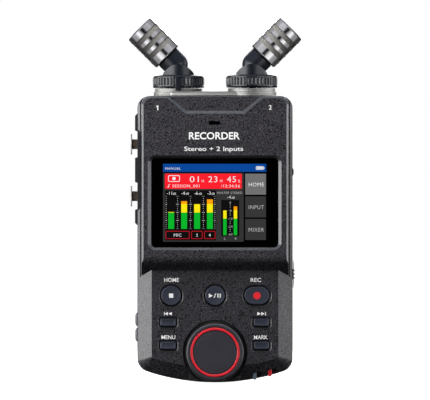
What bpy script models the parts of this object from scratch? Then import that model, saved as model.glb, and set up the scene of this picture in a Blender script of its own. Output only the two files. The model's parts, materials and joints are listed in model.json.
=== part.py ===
"""Handheld field recorder: two swivelling microphones, two XLR inputs, a touch display and a control dial.

Body frame: X to the user's right, Y from the front to the back with Y = 0 at mid-depth, and Z up from
the body's lowest point. The empty "recorder" carries every piece and puts the origin of the assembly at
the mouth of the tripod thread in the back face. Sizes below are in millimetres, and the helpers turn
them into metres.
"""

import math

import bmesh
import bpy
from mathutils import Vector

MM = 0.001

# ---- Driving sizes ----
BODY_HALF_WIDTH = 36.35
BODY_HALF_DEPTH = 18.0
BODY_TOP = 133.9
TOP_RADIUS = 5.5
BOTTOM_RADIUS = 6.0
BOTTOM_ARC = 102.0  # radius of the shallow arc across the bottom
TRIPOD_HEIGHT = 94.0
GAP = 0.3  # clearance between neighbouring pieces
WALL = 2.2

# Depths (Y) of the front's layers.
FRONT_FACE = -BODY_HALF_DEPTH
CONTROL_FACE = -14.4
SHOULDER = -11.5  # where the bevel round the control face meets the straight edge
CAVITY_FRONT = -11.9
CASE_SPLIT = -4.0
BACK_FACE = BODY_HALF_DEPTH
BACK_INSIDE = 16.0
GLASS_FRONT = FRONT_FACE + 1.0
BOARD_FRONT = -8.7

# The flat control face inside the bevel.
CASE_EDGE_HALF_WIDTH = 36.1
FLAT_HALF_WIDTH = 29.6
FLAT_BOTTOM = 7.1

# Display: width, height and centre height.
GLASS_SIZE = (59.0, 41.4)
LCD_SIZE = (54.0, 38.6)
DISPLAY_CENTRE = (-0.1, 84.0)
LIP = 1.4
SLOPE_HEIGHTS = (56.8, 52.2)  # where the panel's sloped end leaves its face and meets the control face

# Dial.
DIAL_CENTRE = (0.0, 14.15)
DIAL_RADIUS = 13.35
WELL_RADIUS = 14.6
WELL_FLOOR = -13.2

# Front buttons: (name, x, z, width, height, corner radius).
BUTTONS = (
    ("stop_button", -20.5, 40.6, 9.1, 9.1, 4.5),
    ("play_button", 0.0, 40.6, 9.1, 9.1, 4.5),
    ("record_button", 19.6, 40.6, 11.6, 8.1, 4.0),
    ("rewind_button", -21.9, 28.1, 7.1, 3.45, 0.5),
    ("forward_button", 21.7, 28.1, 7.1, 3.45, 0.5),
    ("menu_button", -21.9, 17.3, 7.1, 3.45, 0.5),
    ("mark_button", 21.7, 17.3, 7.1, 3.45, 0.5),
)
BUTTON_RISE = 0.9
BUTTON_FLANGE = 0.8
HOLE_CLEARANCE = 0.35

# Microphones: the left one stands behind the middle of the body and the right one in front of it.
MIC_X = 17.15
MIC_Y = 5.5
ARM_OFFSET = 2.4  # from the swivel's axis to the plane of the tilted arm
ARM_CROSSING = 147.6  # height where the tilted axis passes the swivel's axis
RING_RADIUS = 12.15
RING_BOTTOM = 137.9
RING_TOP = 143.9
BASE_TOP = 137.6
BASE_STEP = 136.0
CAPSULE_RADIUS = 7.6
CAPSULE_START = 7.0  # along the tilted axis
CAPSULE_END = 25.9
CAPSULE_WINDOWS = ((11.4, 13.8), (15.5, 17.9), (19.6, 22.1))

# XLR inputs on the left side.
XLR_HEIGHTS = (111.4, 87.1)
XLR_Y = 5.0
XLR_MOUTH_RADIUS = 9.6
XLR_SHELL_RADIUS = 10.6
XLR_FACE = -36.3
GUARDS = ((73.3, 81.1), (93.3, 105.4), (117.5, 126.0))
GUARD_X = -37.5
LATCH_Y = -7.4

# Left and right side controls.
VOLUME_HEIGHTS = (29.25, 22.1)
VOLUME_Y = 5.0
JACK_PLACE = (5.0, 44.0)
SLIDER_PLACE = (5.5, 50.5)
DOOR_Y = (0.4, 12.6)
DOOR_HINGE = (35.1, 75.6)
DOOR_TOP = 100.3
SWITCHES = (("low_cut_switch", 18.6), ("pad_switch", 25.65))
SWITCH_TRAVEL = 2.0

# Battery bay: four AA cells side by side.
CELL_RADIUS = 7.1
CELL_LENGTH = 50.5
CELL_PITCH = 14.7
CELL_Y = 8.9
CELL_BOTTOM = 12.4
TRAY_HALF_WIDTH = 30.8
TRAY_HEIGHTS = (8.9, 67.0)
TRAY_DEPTHS = (0.6, 15.6)
COVER_HALF_WIDTH = 29.7
COVER_HEIGHTS = (10.7, 66.6)
LATCH_SIZE = (12.0, 4.6)
LATCH_HEIGHT = 61.5

SCREWS = ((-31.0, 128.0), (31.0, 128.0), (-31.0, 70.6), (31.0, 70.6))
BOSS_RADIUS = 3.2
SPEAKER_HEIGHT = 113.0
SPEAKER_RADIUS = 10.0

# ---- Finishes: colour, roughness, metallic ----
PAINTED = ((0.040, 0.039, 0.046), 0.5, 0.0)
BLACK_PLASTIC = ((0.014, 0.014, 0.017), 0.5, 0.0)
KEY_PLASTIC = ((0.045, 0.050, 0.065), 0.4, 0.0)
GLASS = ((0.004, 0.004, 0.005), 0.05, 0.0)
SILVER = ((0.42, 0.42, 0.40), 0.35, 1.0)
CHROME = ((0.75, 0.75, 0.77), 0.08, 1.0)
STEEL = ((0.55, 0.53, 0.50), 0.3, 1.0)
MESH_METAL = ((0.35, 0.34, 0.32), 0.5, 1.0)
RED = ((0.80, 0.02, 0.03), 0.35, 0.0)
BLUE_GREY = ((0.16, 0.20, 0.26), 0.45, 0.0)
BRASS = ((0.60, 0.45, 0.20), 0.35, 1.0)
RUBBER = ((0.030, 0.030, 0.032), 0.8, 0.0)
BOARD_GREEN = ((0.02, 0.12, 0.06), 0.5, 0.0)
CELL_WRAP = ((0.10, 0.10, 0.11), 0.3, 0.3)


# ---- Scene ----
def clear_scene():
    for obj in list(bpy.data.objects):
        bpy.data.objects.remove(obj, do_unlink=True)


def new_collection(name):
    collection = bpy.data.collections.new(name)
    bpy.context.scene.collection.children.link(collection)
    return collection


def new_root():
    root = bpy.data.objects.new("recorder", None)
    root.location = (0.0, -BACK_FACE * MM, -TRIPOD_HEIGHT * MM)
    PARTS.objects.link(root)
    return root


clear_scene()
PARTS = new_collection("field_recorder")
CUTTERS = new_collection("cutters")
ROOT = new_root()


# ---- Helpers ----
def give_material(obj, finish):
    colour, roughness, metallic = finish
    material = bpy.data.materials.new(obj.name)
    material.use_nodes = True
    shader = material.node_tree.nodes["Principled BSDF"]
    shader.inputs["Base Color"].default_value = (*colour, 1.0)
    shader.inputs["Roughness"].default_value = roughness
    shader.inputs["Metallic"].default_value = metallic
    obj.data.materials.append(material)


def add_object(name, mesh, finish, origin, rotation=None):
    """Puts the mesh in the scene with its origin there. A piece with no finish is a cutter or a shape to join."""
    obj = bpy.data.objects.new(name, mesh)
    obj.parent = ROOT
    obj.location = Vector(origin) * MM
    if rotation:
        obj.rotation_mode = "QUATERNION"
        obj.rotation_quaternion = rotation
    if finish:
        PARTS.objects.link(obj)
        give_material(obj, finish)
    else:
        CUTTERS.objects.link(obj)
        obj.hide_render = True
        obj.display_type = "WIRE"
    return obj


def mesh_from(bm, name):
    bmesh.ops.recalc_face_normals(bm, faces=bm.faces)
    mesh = bpy.data.meshes.new(name)
    bm.to_mesh(mesh)
    bm.free()
    mesh.shade_smooth()
    mesh.set_sharp_from_angle(angle=math.radians(30))
    return mesh


def box(name, low, high, finish=None, origin=(0, 0, 0), rotation=None):
    """Box between two corners, counted from the origin."""
    bm = bmesh.new()
    bmesh.ops.create_cube(bm, size=1.0)
    size = [(b - a) * MM for a, b in zip(low, high)]
    middle = [(a + b) / 2 * MM for a, b in zip(low, high)]
    bmesh.ops.scale(bm, vec=size, verts=bm.verts)
    bmesh.ops.translate(bm, vec=middle, verts=bm.verts)
    return add_object(name, mesh_from(bm, name), finish, origin, rotation)


def loft(name, sections, finish=None, axis="Y", origin=(0, 0, 0)):
    """Closed solid through outlines of equal point count, given as (outline, place along the axis) pairs.

    An outline's points are in the two other axes, in X, Y, Z order, and in the body frame.
    """
    bm = bmesh.new()
    rings = []
    for outline, place in sections:
        ring = []
        for u, v in outline:
            point = {"X": (place, u, v), "Y": (u, place, v), "Z": (u, v, place)}[axis]
            ring.append(bm.verts.new((Vector(point) - Vector(origin)) * MM))
        rings.append(ring)
    for first, second in zip(rings, rings[1:]):
        for i, corner in enumerate(first):
            bm.faces.new((first[i - 1], corner, second[i], second[i - 1]))
    bmesh.ops.triangulate(bm, faces=bm.faces)  # a side between unlike outlines isn't flat
    bm.faces.new(rings[0])
    bm.faces.new(rings[-1])
    return add_object(name, mesh_from(bm, name), finish, origin)


def turned(name, profile, finish=None, origin=(0, 0, 0), direction=(0, 0, 1), steps=24, closed=False):
    """Turned solid from a profile of (radius, height) points, heights counted from the origin along the
    direction. The profile runs down its outer side, and a closed one joins its ends into a ring."""
    bm = bmesh.new()
    verts = [bm.verts.new((radius * MM, 0.0, height * MM)) for radius, height in profile]
    for first, second in zip(verts, verts[1:]):
        bm.edges.new((first, second))
    if closed:
        bm.edges.new((verts[-1], verts[0]))
    mesh = bpy.data.meshes.new(name)
    bm.to_mesh(mesh)
    bm.free()
    rotation = Vector(direction).to_track_quat("Z", "Y")
    obj = add_object(name, mesh, finish, origin, rotation)
    screw = obj.modifiers.new("turn", "SCREW")
    screw.steps = steps
    screw.render_steps = steps
    screw.use_merge_vertices = True
    screw.merge_threshold = 0.00001
    return obj


def cylinder(name, radius, low, high, finish=None, origin=(0, 0, 0), direction=(0, 0, 1), steps=24):
    profile = ((0, high), (radius, high), (radius, low), (0, low))
    return turned(name, profile, finish, origin, direction, steps)


def combine(obj, other, operation):
    boolean = obj.modifiers.new(f"{operation.lower()}_{other.name}", "BOOLEAN")
    boolean.operation = operation
    boolean.solver = "EXACT"
    boolean.object = other


def cut(obj, *cutters):
    for cutter in cutters:
        combine(obj, cutter, "DIFFERENCE")


def join(obj, *shapes):
    for shape in shapes:
        combine(obj, shape, "UNION")


# ---- Outlines ----
def rounded(corners, steps=4):
    """Outline through (u, v, radius) corners, each turned into an arc of that radius, or kept sharp at 0."""
    points = []
    for i, (u, v, radius) in enumerate(corners):
        corner = Vector((u, v))
        if not radius:
            points.append(tuple(corner))
            continue
        before = (Vector(corners[i - 1][:2]) - corner).normalized()
        after = (Vector(corners[(i + 1) % len(corners)][:2]) - corner).normalized()
        half = before.angle(after) / 2
        centre = corner + (before + after).normalized() * (radius / math.sin(half))
        start = math.atan2(*reversed(corner + before * (radius / math.tan(half)) - centre))
        end = math.atan2(*reversed(corner + after * (radius / math.tan(half)) - centre))
        sweep = math.remainder(end - start, math.tau)
        for k in range(steps + 1):
            angle = start + sweep * k / steps
            points.append((centre.x + radius * math.cos(angle), centre.y + radius * math.sin(angle)))
    return points


def rounded_box(u, v, width, height, radius, steps=4):
    """Rectangle with rounded corners, centred on u and v."""
    half_u, half_v = width / 2, height / 2
    corners = ((-1, 1), (-1, -1), (1, -1), (1, 1))
    return rounded([(u + a * half_u, v + b * half_v, radius) for a, b in corners], steps)


def bottom_edge(x, lowest=0.0):
    """Height of the arc across the body's bottom."""
    return lowest + BOTTOM_ARC - math.sqrt(BOTTOM_ARC**2 - x**2)


def body_outline(half_width, top, lowest, top_radius, bottom_radius):
    """Straight sides and top, an arc across the bottom, and four rounded corners."""
    foot = bottom_edge(half_width, lowest)
    corners = [(-half_width, top, top_radius), (-half_width, foot, bottom_radius)]
    for k in range(-4, 5):
        x = half_width * k / 5
        corners.append((x, bottom_edge(x, lowest), 0))
    corners += [(half_width, foot, bottom_radius), (half_width, top, top_radius)]
    return rounded(corners)


def case_edge(grow=0.0, half_width=BODY_HALF_WIDTH):
    return body_outline(
        half_width + grow, BODY_TOP + grow, -grow, TOP_RADIUS + grow, BOTTOM_RADIUS + grow
    )


def front_form(grow, front, back):
    """The front case's form, grown on every side: a straight edge and a wide bevel up to the flat face."""
    flat = body_outline(
        FLAT_HALF_WIDTH + grow, BODY_TOP - 1.0 + grow, FLAT_BOTTOM - grow, 3.0, 1.2
    )
    edge = case_edge(grow, CASE_EDGE_HALF_WIDTH)
    shoulder = front + SHOULDER - CONTROL_FACE
    return [(flat, front), (edge, shoulder), (edge, back)]


# ---- Casings ----
def dial_axis(profile, name, finish=None, closed=False, steps=32):
    """A piece turned on the dial's axis, heights counted from mid-depth towards the front."""
    origin = (DIAL_CENTRE[0], 0.0, DIAL_CENTRE[1])
    return turned(name, profile, finish, origin, (0, -1, 0), steps, closed)


def mic_base_place(side):
    """Swivel axis of the left (-1) or right (+1) microphone."""
    return (side * MIC_X, -side * MIC_Y, 0.0)


def xlr_notch(gap=0.0, beyond=0.0):
    """The input module's front edge, cut at 45 degrees at both ends, as an outline in X and Z."""
    inner, outer = -34.75 + gap, XLR_FACE - beyond
    slant = inner - outer
    low, high = 80.4 - gap - beyond, 118.2 + gap + beyond
    return [(outer, low), (outer, high), (inner, high - slant), (inner, low + slant)]


def make_front_case():
    case = loft("front_case", front_form(0.0, CONTROL_FACE, CASE_SPLIT), PAINTED)
    arc = [(12.2 * k / 8, bottom_edge(12.2 * k / 8, 0.15)) for k in range(-8, 9)]
    boss = [(-12.2, 10.0), *arc, (12.2, 10.0)]
    join(case, loft("dial_boss", [(boss, CONTROL_FACE), (boss, CAVITY_FRONT)]))
    cut(case, loft("front_cavity", front_form(-WALL, CAVITY_FRONT, 0.0)))
    x, z = DISPLAY_CENTRE
    hole = rounded_box(x, z, LCD_SIZE[0] + 0.6, LCD_SIZE[1] + 0.6, 1.0)
    cut(case, loft("lcd_hole", [(hole, -20.0), (hole, 0.0)]))
    for name, x, z, width, height, radius in BUTTONS:
        extra = 2 * HOLE_CLEARANCE
        hole = rounded_box(x, z, width + extra, height + extra, radius + HOLE_CLEARANCE)
        cut(case, loft(name + "_hole", [(hole, -20.0), (hole, -10.0)]))
    well = -WELL_FLOOR
    profile = [(0, 20), (WELL_RADIUS, 20), (WELL_RADIUS, well), (3.5, well), (3.5, 5), (0, 5)]
    cut(case, dial_axis(profile, "dial_well"))
    notch = xlr_notch(GAP, 1.5)
    cut(case, loft("xlr_front_notch", [(notch, -16.0), (notch, 0.0)]))
    cut(case, box("xlr_wall_opening", (-34.6, -11.2, 81.0), (-32, 0, 117.8)))
    cut(case, cylinder("right_spigot_hole", 6.3, 120, 140, origin=mic_base_place(1)))
    for name, x in SWITCHES:
        edge = bottom_edge(x)
        low = (x - 1.15, -12.7, edge - 3.0)
        high = (x + 1.15 + SWITCH_TRAVEL, -10.1, edge + 5.5)
        cut(case, box(name + "_slot", low, high))
    for i, (x, z) in enumerate(SCREWS, 1):
        origin, back = (x, 0.0, z), (0, 1, 0)
        join(case, cylinder(f"boss_{i}", BOSS_RADIUS, -12.2, 9.0, None, origin, back, 16))
        cut(case, cylinder(f"pilot_{i}", 1.2, -3.0, 10.0, None, origin, back, 12))


def slope_height(y):
    """Height of the raised panel's sloped lower end at depth y."""
    high, low = SLOPE_HEIGHTS
    return high + (low - high) * (y - FRONT_FACE) / (CONTROL_FACE - FRONT_FACE)


def make_display_panel():
    """Raised panel that carries the display, with a sloped lower end that rests on the case's bevel."""
    def outline(half_width, top):
        return rounded(
            [(-half_width, top, 4.2), (-half_width, 44, 0), (half_width, 44, 0), (half_width, top, 4.2)]
        )

    sections = [
        (outline(33.0, BODY_TOP - 0.6), FRONT_FACE),
        (outline(33.75, BODY_TOP), FRONT_FACE + 0.7),
        (outline(34.75, BODY_TOP), -10.0),
    ]
    panel = loft("display_panel", sections, PAINTED)
    cut(panel, loft("case_under_panel", front_form(GAP, CONTROL_FACE - GAP, 2.0)))
    slope = [(-21.0, 40.0), (-21.0, slope_height(-21.0)), (-8.0, slope_height(-8.0)), (-8.0, 40.0)]
    cut(panel, loft("panel_slope", [(slope, -40.0), (slope, 40.0)], axis="X"))
    x, z = DISPLAY_CENTRE
    width, height = GLASS_SIZE
    mouth = rounded_box(x, z, width + 2 * LIP, height + 2 * LIP, 3.3)
    pocket = rounded_box(x, z, width + 0.6, height + 0.6, 2.2)
    hole = rounded_box(x, z, LCD_SIZE[0] + 0.6, LCD_SIZE[1] + 0.6, 1.0)
    cut(panel, loft("glass_pocket", [(mouth, FRONT_FACE - 0.01), (pocket, GLASS_FRONT), (pocket, -15.6)]))
    cut(panel, loft("lcd_panel_hole", [(hole, -17.0), (hole, -12.0)]))
    outer = [(-23.6, 136.0), (-14.0, 125.2), (14.0, 125.2), (23.6, 136.0)]
    inner = [(-22.6, 136.0), (-13.4, 126.2), (13.4, 126.2), (22.6, 136.0)]
    cut(panel, loft("name_recess", [(outer, FRONT_FACE - 0.01), (inner, FRONT_FACE + 0.7)]))
    pill = rounded_box(-0.2, 121.3, 5.8, 1.8, 0.85)
    cut(panel, loft("tally_hole", [(pill, -19.0), (pill, -13.0)]))


def make_rear_case():
    edge = case_edge()
    sections = [(edge, CASE_SPLIT + GAP), (edge, 14.0), (case_edge(-1.0), 16.8), (case_edge(-3.0), BACK_FACE)]
    case = loft("rear_case", sections, PAINTED)
    inside = case_edge(-2.0)
    cut(case, loft("rear_cavity", [(inside, -6.0), (inside, 13.0), (case_edge(-4.0), BACK_INSIDE)]))
    low, high = COVER_HEIGHTS
    hatch = rounded_box(0, (low + high) / 2, 2 * COVER_HALF_WIDTH + 0.6, high - low + 0.6, 2.3)
    cut(case, loft("battery_hatch", [(hatch, 12.0), (hatch, 20.0)]))
    cut(case, box("xlr_side_opening", (-38, -6, 73.0), (-32.0, 15.9, 126.3)))
    for side in (-1, 1):
        name = "left_base_hole" if side < 0 else "right_base_hole"
        cut(case, cylinder(name, 6.3, 120, 140, origin=mic_base_place(side)))
    cut(case, cylinder("tripod_hole", 5.8, 10, 20, None, (0, 0, TRIPOD_HEIGHT), (0, 1, 0)))
    for i in range(5):
        z = SPEAKER_HEIGHT + 3.0 * (i - 2)
        slot = rounded_box(0, z, 13.0, 1.3, 0.6, 3)
        cut(case, loft(f"speaker_slot_{i + 1}", [(slot, 14.0), (slot, 20.0)]))
    for i, (x, z) in enumerate(SCREWS, 1):
        profile = ((0, 20), (2.3, 20), (2.3, 16.6), (1.25, 16.6), (1.25, 10), (0, 10))
        cut(case, turned(f"screw_hole_{i}", profile, None, (x, 0.0, z), (0, 1, 0), 16))
    for i, z in enumerate(VOLUME_HEIGHTS, 1):
        hole = rounded_box(VOLUME_Y, z, 5.4, 7.0, 0.9)
        cut(case, loft(f"volume_hole_{i}", [(hole, -38.0), (hole, -32.0)], axis="X"))
    y, z = JACK_PLACE
    cut(case, cylinder("jack_hole", 3.2, 30, 40, None, (0, y, z), (-1, 0, 0), 16))
    y, z = SLIDER_PLACE
    slot = rounded_box(y, z, 3.6, 9.6, 0.8)
    cut(case, loft("slider_slot", [(slot, 32.0), (slot, 38.0)], axis="X"))
    cut_port_recess(case)


def cut_port_recess(case):
    """Recess for the port door, its barrel and pin, and the window behind it for the sockets."""
    low, high = DOOR_Y
    hinge_x, hinge_z = DOOR_HINGE
    cut(case, box("door_recess", (34.7, low - 0.4, hinge_z - 0.5), (38, high + 0.4, DOOR_TOP + 0.4)))
    cut(case, box("barrel_recess", (33.5, low - 0.4, hinge_z - 1.6), (38, high + 0.4, hinge_z + 1.6)))
    cut(case, box("socket_window", (32, 2.2, 79.8), (36, 11.6, 94.2)))
    origin = (hinge_x, 0.0, hinge_z)
    cut(case, cylinder("pin_hole", 0.72, low - 1.0, high + 1.0, None, origin, (0, 1, 0), 12))


def make_screws():
    profile = ((0, 17.7), (1.9, 17.7), (1.9, 16.9), (0.95, 16.9), (0.95, 0.0), (0, 0.0))
    for i, (x, z) in enumerate(SCREWS, 1):
        turned(f"case_screw_{i}", profile, STEEL, (x, 0.0, z), (0, 1, 0), 12)


# ---- Display, board and controls ----
def make_display():
    x, z = DISPLAY_CENTRE
    glass = rounded_box(x, z, *GLASS_SIZE, 1.9)
    loft("display_glass", [(glass, GLASS_FRONT), (glass, GLASS_FRONT + 1.1)], GLASS)
    width, height = LCD_SIZE
    box("lcd_module", (x - width / 2, -15.5, z - height / 2), (x + width / 2, -12.9, z + height / 2), STEEL)
    pill = rounded_box(-0.2, 121.3, 5.3, 1.3, 0.6)
    loft("tally_lens", [(pill, -17.6), (pill, -15.0)], GLASS)


def make_boards():
    box("main_board", (-27.2, BOARD_FRONT, 6.0), (27.2, BOARD_FRONT + 1.2, 116.0), BOARD_GREEN)
    membrane = box("keypad_membrane", (-27.2, -9.9, 10.0), (27.2, -9.1, 47.0), RUBBER)
    cut(membrane, dial_axis([(0, 12), (9.5, 12), (9.5, 6), (0, 6)], "membrane_hole"))


def make_buttons():
    """Each cap ends in a wider flange behind the case's wall, which keeps it in."""
    front = CONTROL_FACE - BUTTON_RISE
    step = CAVITY_FRONT + GAP
    for name, x, z, width, height, radius in BUTTONS:
        cap = rounded_box(x, z, width, height, radius)
        face = rounded_box(x, z, width - 0.6, height - 0.6, radius - 0.3)
        flange = rounded_box(x, z, width + 1.6, height + 1.6, radius + 0.8)
        sections = [(face, front), (cap, front + 0.3), (cap, step), (flange, step)]
        sections.append((flange, step + BUTTON_FLANGE))
        loft(name, sections, KEY_PLASTIC, origin=(x, front, z))


def make_dial():
    top = 19.4
    outside = [(0, top), (9.8, top), (9.8, top - 0.6), (11.8, top - 0.6), (11.8, top), (12.5, top)]
    outside += [(DIAL_RADIUS, top - 0.8), (DIAL_RADIUS, 13.5), (3.0, 13.5), (3.0, 9.6), (0, 9.6)]
    dial_axis(outside, "dial", BLACK_PLASTIC)
    ring = [(11.5, top + 0.1), (11.5, top - 0.3), (10.1, top - 0.3), (10.1, top + 0.1)]
    dial_axis(ring, "dial_ring", RED, closed=True)
    x, z = DIAL_CENTRE
    encoder = box("dial_encoder", (x - 5.0, -11.3, z - 4.8), (x + 5.0, -9.0, z + 5.2), STEEL)
    cut(encoder, dial_axis([(0, 13), (3.3, 13), (3.3, 8), (0, 8)], "encoder_bore", steps=16))


def make_side_controls():
    for i, z in enumerate(VOLUME_HEIGHTS, 1):
        place = (VOLUME_Y, z)
        face = rounded_box(*place, 3.2, 2.8, 0.6)
        foot = rounded_box(*place, 4.8, 6.4, 0.6)
        flange = rounded_box(*place, 6.2, 7.0, 0.6)
        sections = [(face, -37.4), (foot, -36.75), (foot, -34.0), (flange, -34.0), (flange, -33.2)]
        name = "volume_up_key" if i == 1 else "volume_down_key"
        loft(name, sections, KEY_PLASTIC, "X", (-37.4, *place))
    y, z = JACK_PLACE
    profile = ((0, 32.6), (1.8, 32.6), (1.8, 36.3), (3.0, 36.3), (3.0, 31.4), (0, 31.4))
    turned("phones_jack", profile, BLACK_PLASTIC, (0, y, z), (-1, 0, 0), 16)


def make_power_slider():
    """Lens-shaped knob with three grip ridges and a stem through the slot."""
    y, z = SLIDER_PLACE
    foot = rounded_box(y, z, 6.0, 13.6, 1.2)
    crown = rounded_box(y, z, 5.0, 8.4, 1.0)
    slider = loft("power_slider", [(foot, 36.6), (crown, 37.0)], BLACK_PLASTIC, "X", (36.6, y, z))
    join(slider, box("slider_stem", (33.4, y - 1.5, z - 2.5), (36.8, y + 1.5, z + 2.5)))
    for i in (-1, 0, 1):
        centre = z + 1.75 * i
        join(slider, box(f"slider_ridge_{i + 2}", (36.8, y - 2.4, centre - 0.35), (37.4, y + 2.4, centre + 0.35)))


def make_bottom_switches():
    for name, x in SWITCHES:
        edge = bottom_edge(x)
        finish = RED if name == "pad_switch" else BLUE_GREY
        low, high = (-0.85, 0.0, -0.45), (0.85, 2.0, 4.6)
        box(name, low, high, finish, origin=(x, -12.4, edge))


# ---- Microphones ----
def make_microphone(side):
    """The left (-1) and right (+1) units are alike: one is the other turned half way round."""
    tag = "left" if side < 0 else "right"
    base = mic_base_place(side)
    profile = [(4.2, BASE_TOP), (11.2, BASE_TOP), (11.2, BASE_STEP), (11.7, BASE_STEP), (11.7, 134.2)]
    profile += [(6.0, 134.2), (6.0, 129.5), (4.2, 129.5)]
    turned(f"mic_base_{tag}", profile, SILVER, base, steps=32, closed=True)
    profile = [(0, 143.6), (4.0, 143.6), (4.0, 129.2), (5.6, 129.2), (5.6, 127.4), (0, 127.4)]
    turned(f"mic_shaft_{tag}", profile, STEEL, base, steps=20)
    profile = [(4.3, RING_TOP), (11.4, RING_TOP), (RING_RADIUS, 143.2), (RING_RADIUS, 138.6)]
    profile += [(11.7, RING_BOTTOM), (4.3, RING_BOTTOM)]
    ring = turned(f"mic_ring_{tag}", profile, BLACK_PLASTIC, base, steps=36, closed=True)
    near, far = sorted((side * 11.5, side * 12.5))
    join(ring, box(f"index_tab_{tag}", (-1.25, near, 136.6), (1.25, far, 143.4), origin=base))
    make_arm(side, tag, base)
    make_capsule(side, tag, base)


def arm_frame(side, base):
    """Where the tilted axis passes the swivel's axis, and its direction."""
    return (base[0], base[1] + side * ARM_OFFSET, ARM_CROSSING), (side, 0, 1)


def make_arm(side, tag, base):
    """A rounded yoke on the ring, and the tilted neck that rises out of it."""
    foot, rise, half = 144.2, 4.8, 7.4
    arch = [(half * k / 8, foot + rise * (1 - (k / 8) ** 2)) for k in range(-8, 9)]
    arch = [(base[0] + x, z) for x, z in arch]
    sections = [(arch, base[1] - 9.5), (arch, base[1] + 9.5)]
    arm = loft(f"mic_arm_{tag}", sections, BLACK_PLASTIC, origin=base)
    combine(arm, cylinder(f"yoke_form_{tag}", 9.4, 140, 152, origin=base, steps=32), "INTERSECT")
    centre, radius, end = 2.0, 6.0, CAPSULE_START - GAP
    profile = [(0, end), (radius, end)]
    profile += [(radius * math.cos(a), centre - radius * math.sin(a)) for a in arc_angles(6)]
    place, direction = arm_frame(side, base)
    join(arm, turned(f"neck_{tag}", profile, None, place, direction, 24))
    cut(arm, box(f"arm_floor_{tag}", (-20, -20, 130), (20, 20, foot), origin=base))


def arc_angles(count):
    """Angles from 0 to a quarter turn."""
    return [math.pi / 2 * k / count for k in range(count + 1)]


def make_capsule(side, tag, base):
    """Chrome cage with three open bands, the mesh sleeve behind them and the element inside."""
    place, direction = arm_frame(side, base)
    start, end, radius = CAPSULE_START, CAPSULE_END, CAPSULE_RADIUS
    inner = radius - 0.9
    profile = [(0, start + 1.2), (inner, start + 1.2), (inner, end), (radius - 0.5, end)]
    profile += [(radius, end - 0.5), (radius, start + 0.8), (radius - 0.8, start), (0, start)]
    cage = turned(f"mic_cage_{tag}", profile, CHROME, place, direction)
    rotation = Vector(direction).to_track_quat("Z", "Y")
    for i, (low, high) in enumerate(CAPSULE_WINDOWS, 1):
        name = f"cage_window_{tag}_{i}"
        cut(cage, box(name, (-10, -6.0, low), (10, 6.0, high), origin=place, rotation=rotation))
    profile = [(0, end - 1), (6.35, end - 1), (6.35, start + 1.5), (5.9, start + 1.5), (5.9, end - 1.5)]
    profile.append((0, end - 1.5))
    turned(f"mic_mesh_{tag}", profile, MESH_METAL, place, direction)
    cylinder(f"mic_element_{tag}", 4.8, 16, 23, STEEL, place, direction, 20)


def make_top_plate():
    """Raised plate between the two microphone bases, hollowed where they stand."""
    foot = [(-20.8, -15.0), (20.8, -15.0), (20.8, 15.0), (-20.8, 15.0)]
    top = [(-19.6, -14.4), (19.6, -14.4), (19.6, 14.4), (-19.6, 14.4)]
    plate = loft("top_plate", [(foot, BODY_TOP + GAP), (foot, 135.4), (top, 136.1)], SILVER, "Z")
    for side in (-1, 1):
        name = "left_base_seat" if side < 0 else "right_base_seat"
        cut(plate, cylinder(name, 11.95, 130, 140, origin=mic_base_place(side), steps=32))


# ---- XLR inputs ----
def guard_profile():
    """The module's side in X and Z, with a guard ridge above, between and below the two inputs."""
    points = [(-34.4, GUARDS[0][0])]
    for low, high in GUARDS:
        points += [(XLR_FACE, low), (GUARD_X, low + 1.2), (GUARD_X, high - 1.2), (XLR_FACE, high)]
    points.append((-34.4, GUARDS[-1][1]))
    return points


def make_xlr_inputs():
    outline = guard_profile()
    module = loft("xlr_housing", [(outline, CASE_SPLIT + 0.6), (outline, 15.4)], BLACK_PLASTIC)
    tongue = xlr_notch()
    join(module, loft("xlr_tongue", [(tongue, -11.9), (tongue, -3.0)]))
    shell, mouth = XLR_SHELL_RADIUS, XLR_SHELL_RADIUS - 0.85
    profile = [(0, 33.2), (7.8, 33.2), (7.8, 15.0), (mouth, 15.0), (mouth, 34.1), (shell, 34.1)]
    profile += [(shell, 13.0), (0, 13.0)]
    for i, z in enumerate(XLR_HEIGHTS, 1):
        origin = (0.0, XLR_Y, z)
        cut(module, cylinder(f"xlr_mouth_{i}", XLR_MOUTH_RADIUS, 30, 40, None, origin, (-1, 0, 0), 32))
        low, high = (-40, LATCH_Y - 1.3, z - 2.6), (-30, LATCH_Y + 1.3, z + 2.6)
        cut(module, box(f"latch_slot_{i}", low, high))
        turned(f"xlr_socket_{i}", profile, BLACK_PLASTIC, origin, (-1, 0, 0), 28)
        make_xlr_latch(i, z)


def make_xlr_latch(i, z):
    """T-shaped release lever: a stem through the module and a wide finger plate."""
    origin = (-39.6, LATCH_Y, z)
    latch = box(f"xlr_latch_{i}", (0.0, -2.5, -4.75), (0.8, 2.4, 4.75), STEEL, origin)
    join(latch, box(f"latch_stem_{i}", (0.5, -1.0, -2.3), (8.6, 1.0, 2.3), origin=origin))


# ---- Ports and battery bay ----
def make_port_door():
    hinge_x, hinge_z = DOOR_HINGE
    low, high = DOOR_Y
    origin = (hinge_x, 0.0, hinge_z)
    side = [(35.0, hinge_z), (35.0, DOOR_TOP), (36.5, DOOR_TOP), (36.9, 99.3), (36.9, 97.5)]
    side += [(36.35, 96.5), (36.35, hinge_z)]
    door = loft("port_door", [(side, low), (side, high)], RUBBER, origin=origin)
    join(door, cylinder("door_barrel", 1.25, low, high, None, origin, (0, 1, 0), 16))
    join(door, cylinder("door_pin", 0.6, low - 0.8, high + 0.8, None, origin, (0, 1, 0), 12))
    usb = box("usb_socket", (27.0, 3.0, 82.5), (34.2, 6.2, 91.5), STEEL)
    cut(usb, box("usb_mouth", (28.0, 3.4, 82.9), (36.0, 5.8, 91.1)))
    card = box("card_slot", (19.0, 8.2, 80.4), (34.2, 10.6, 93.6), STEEL)
    cut(card, box("card_mouth", (20.0, 8.9, 81.2), (36.0, 9.9, 92.8)))


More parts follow.
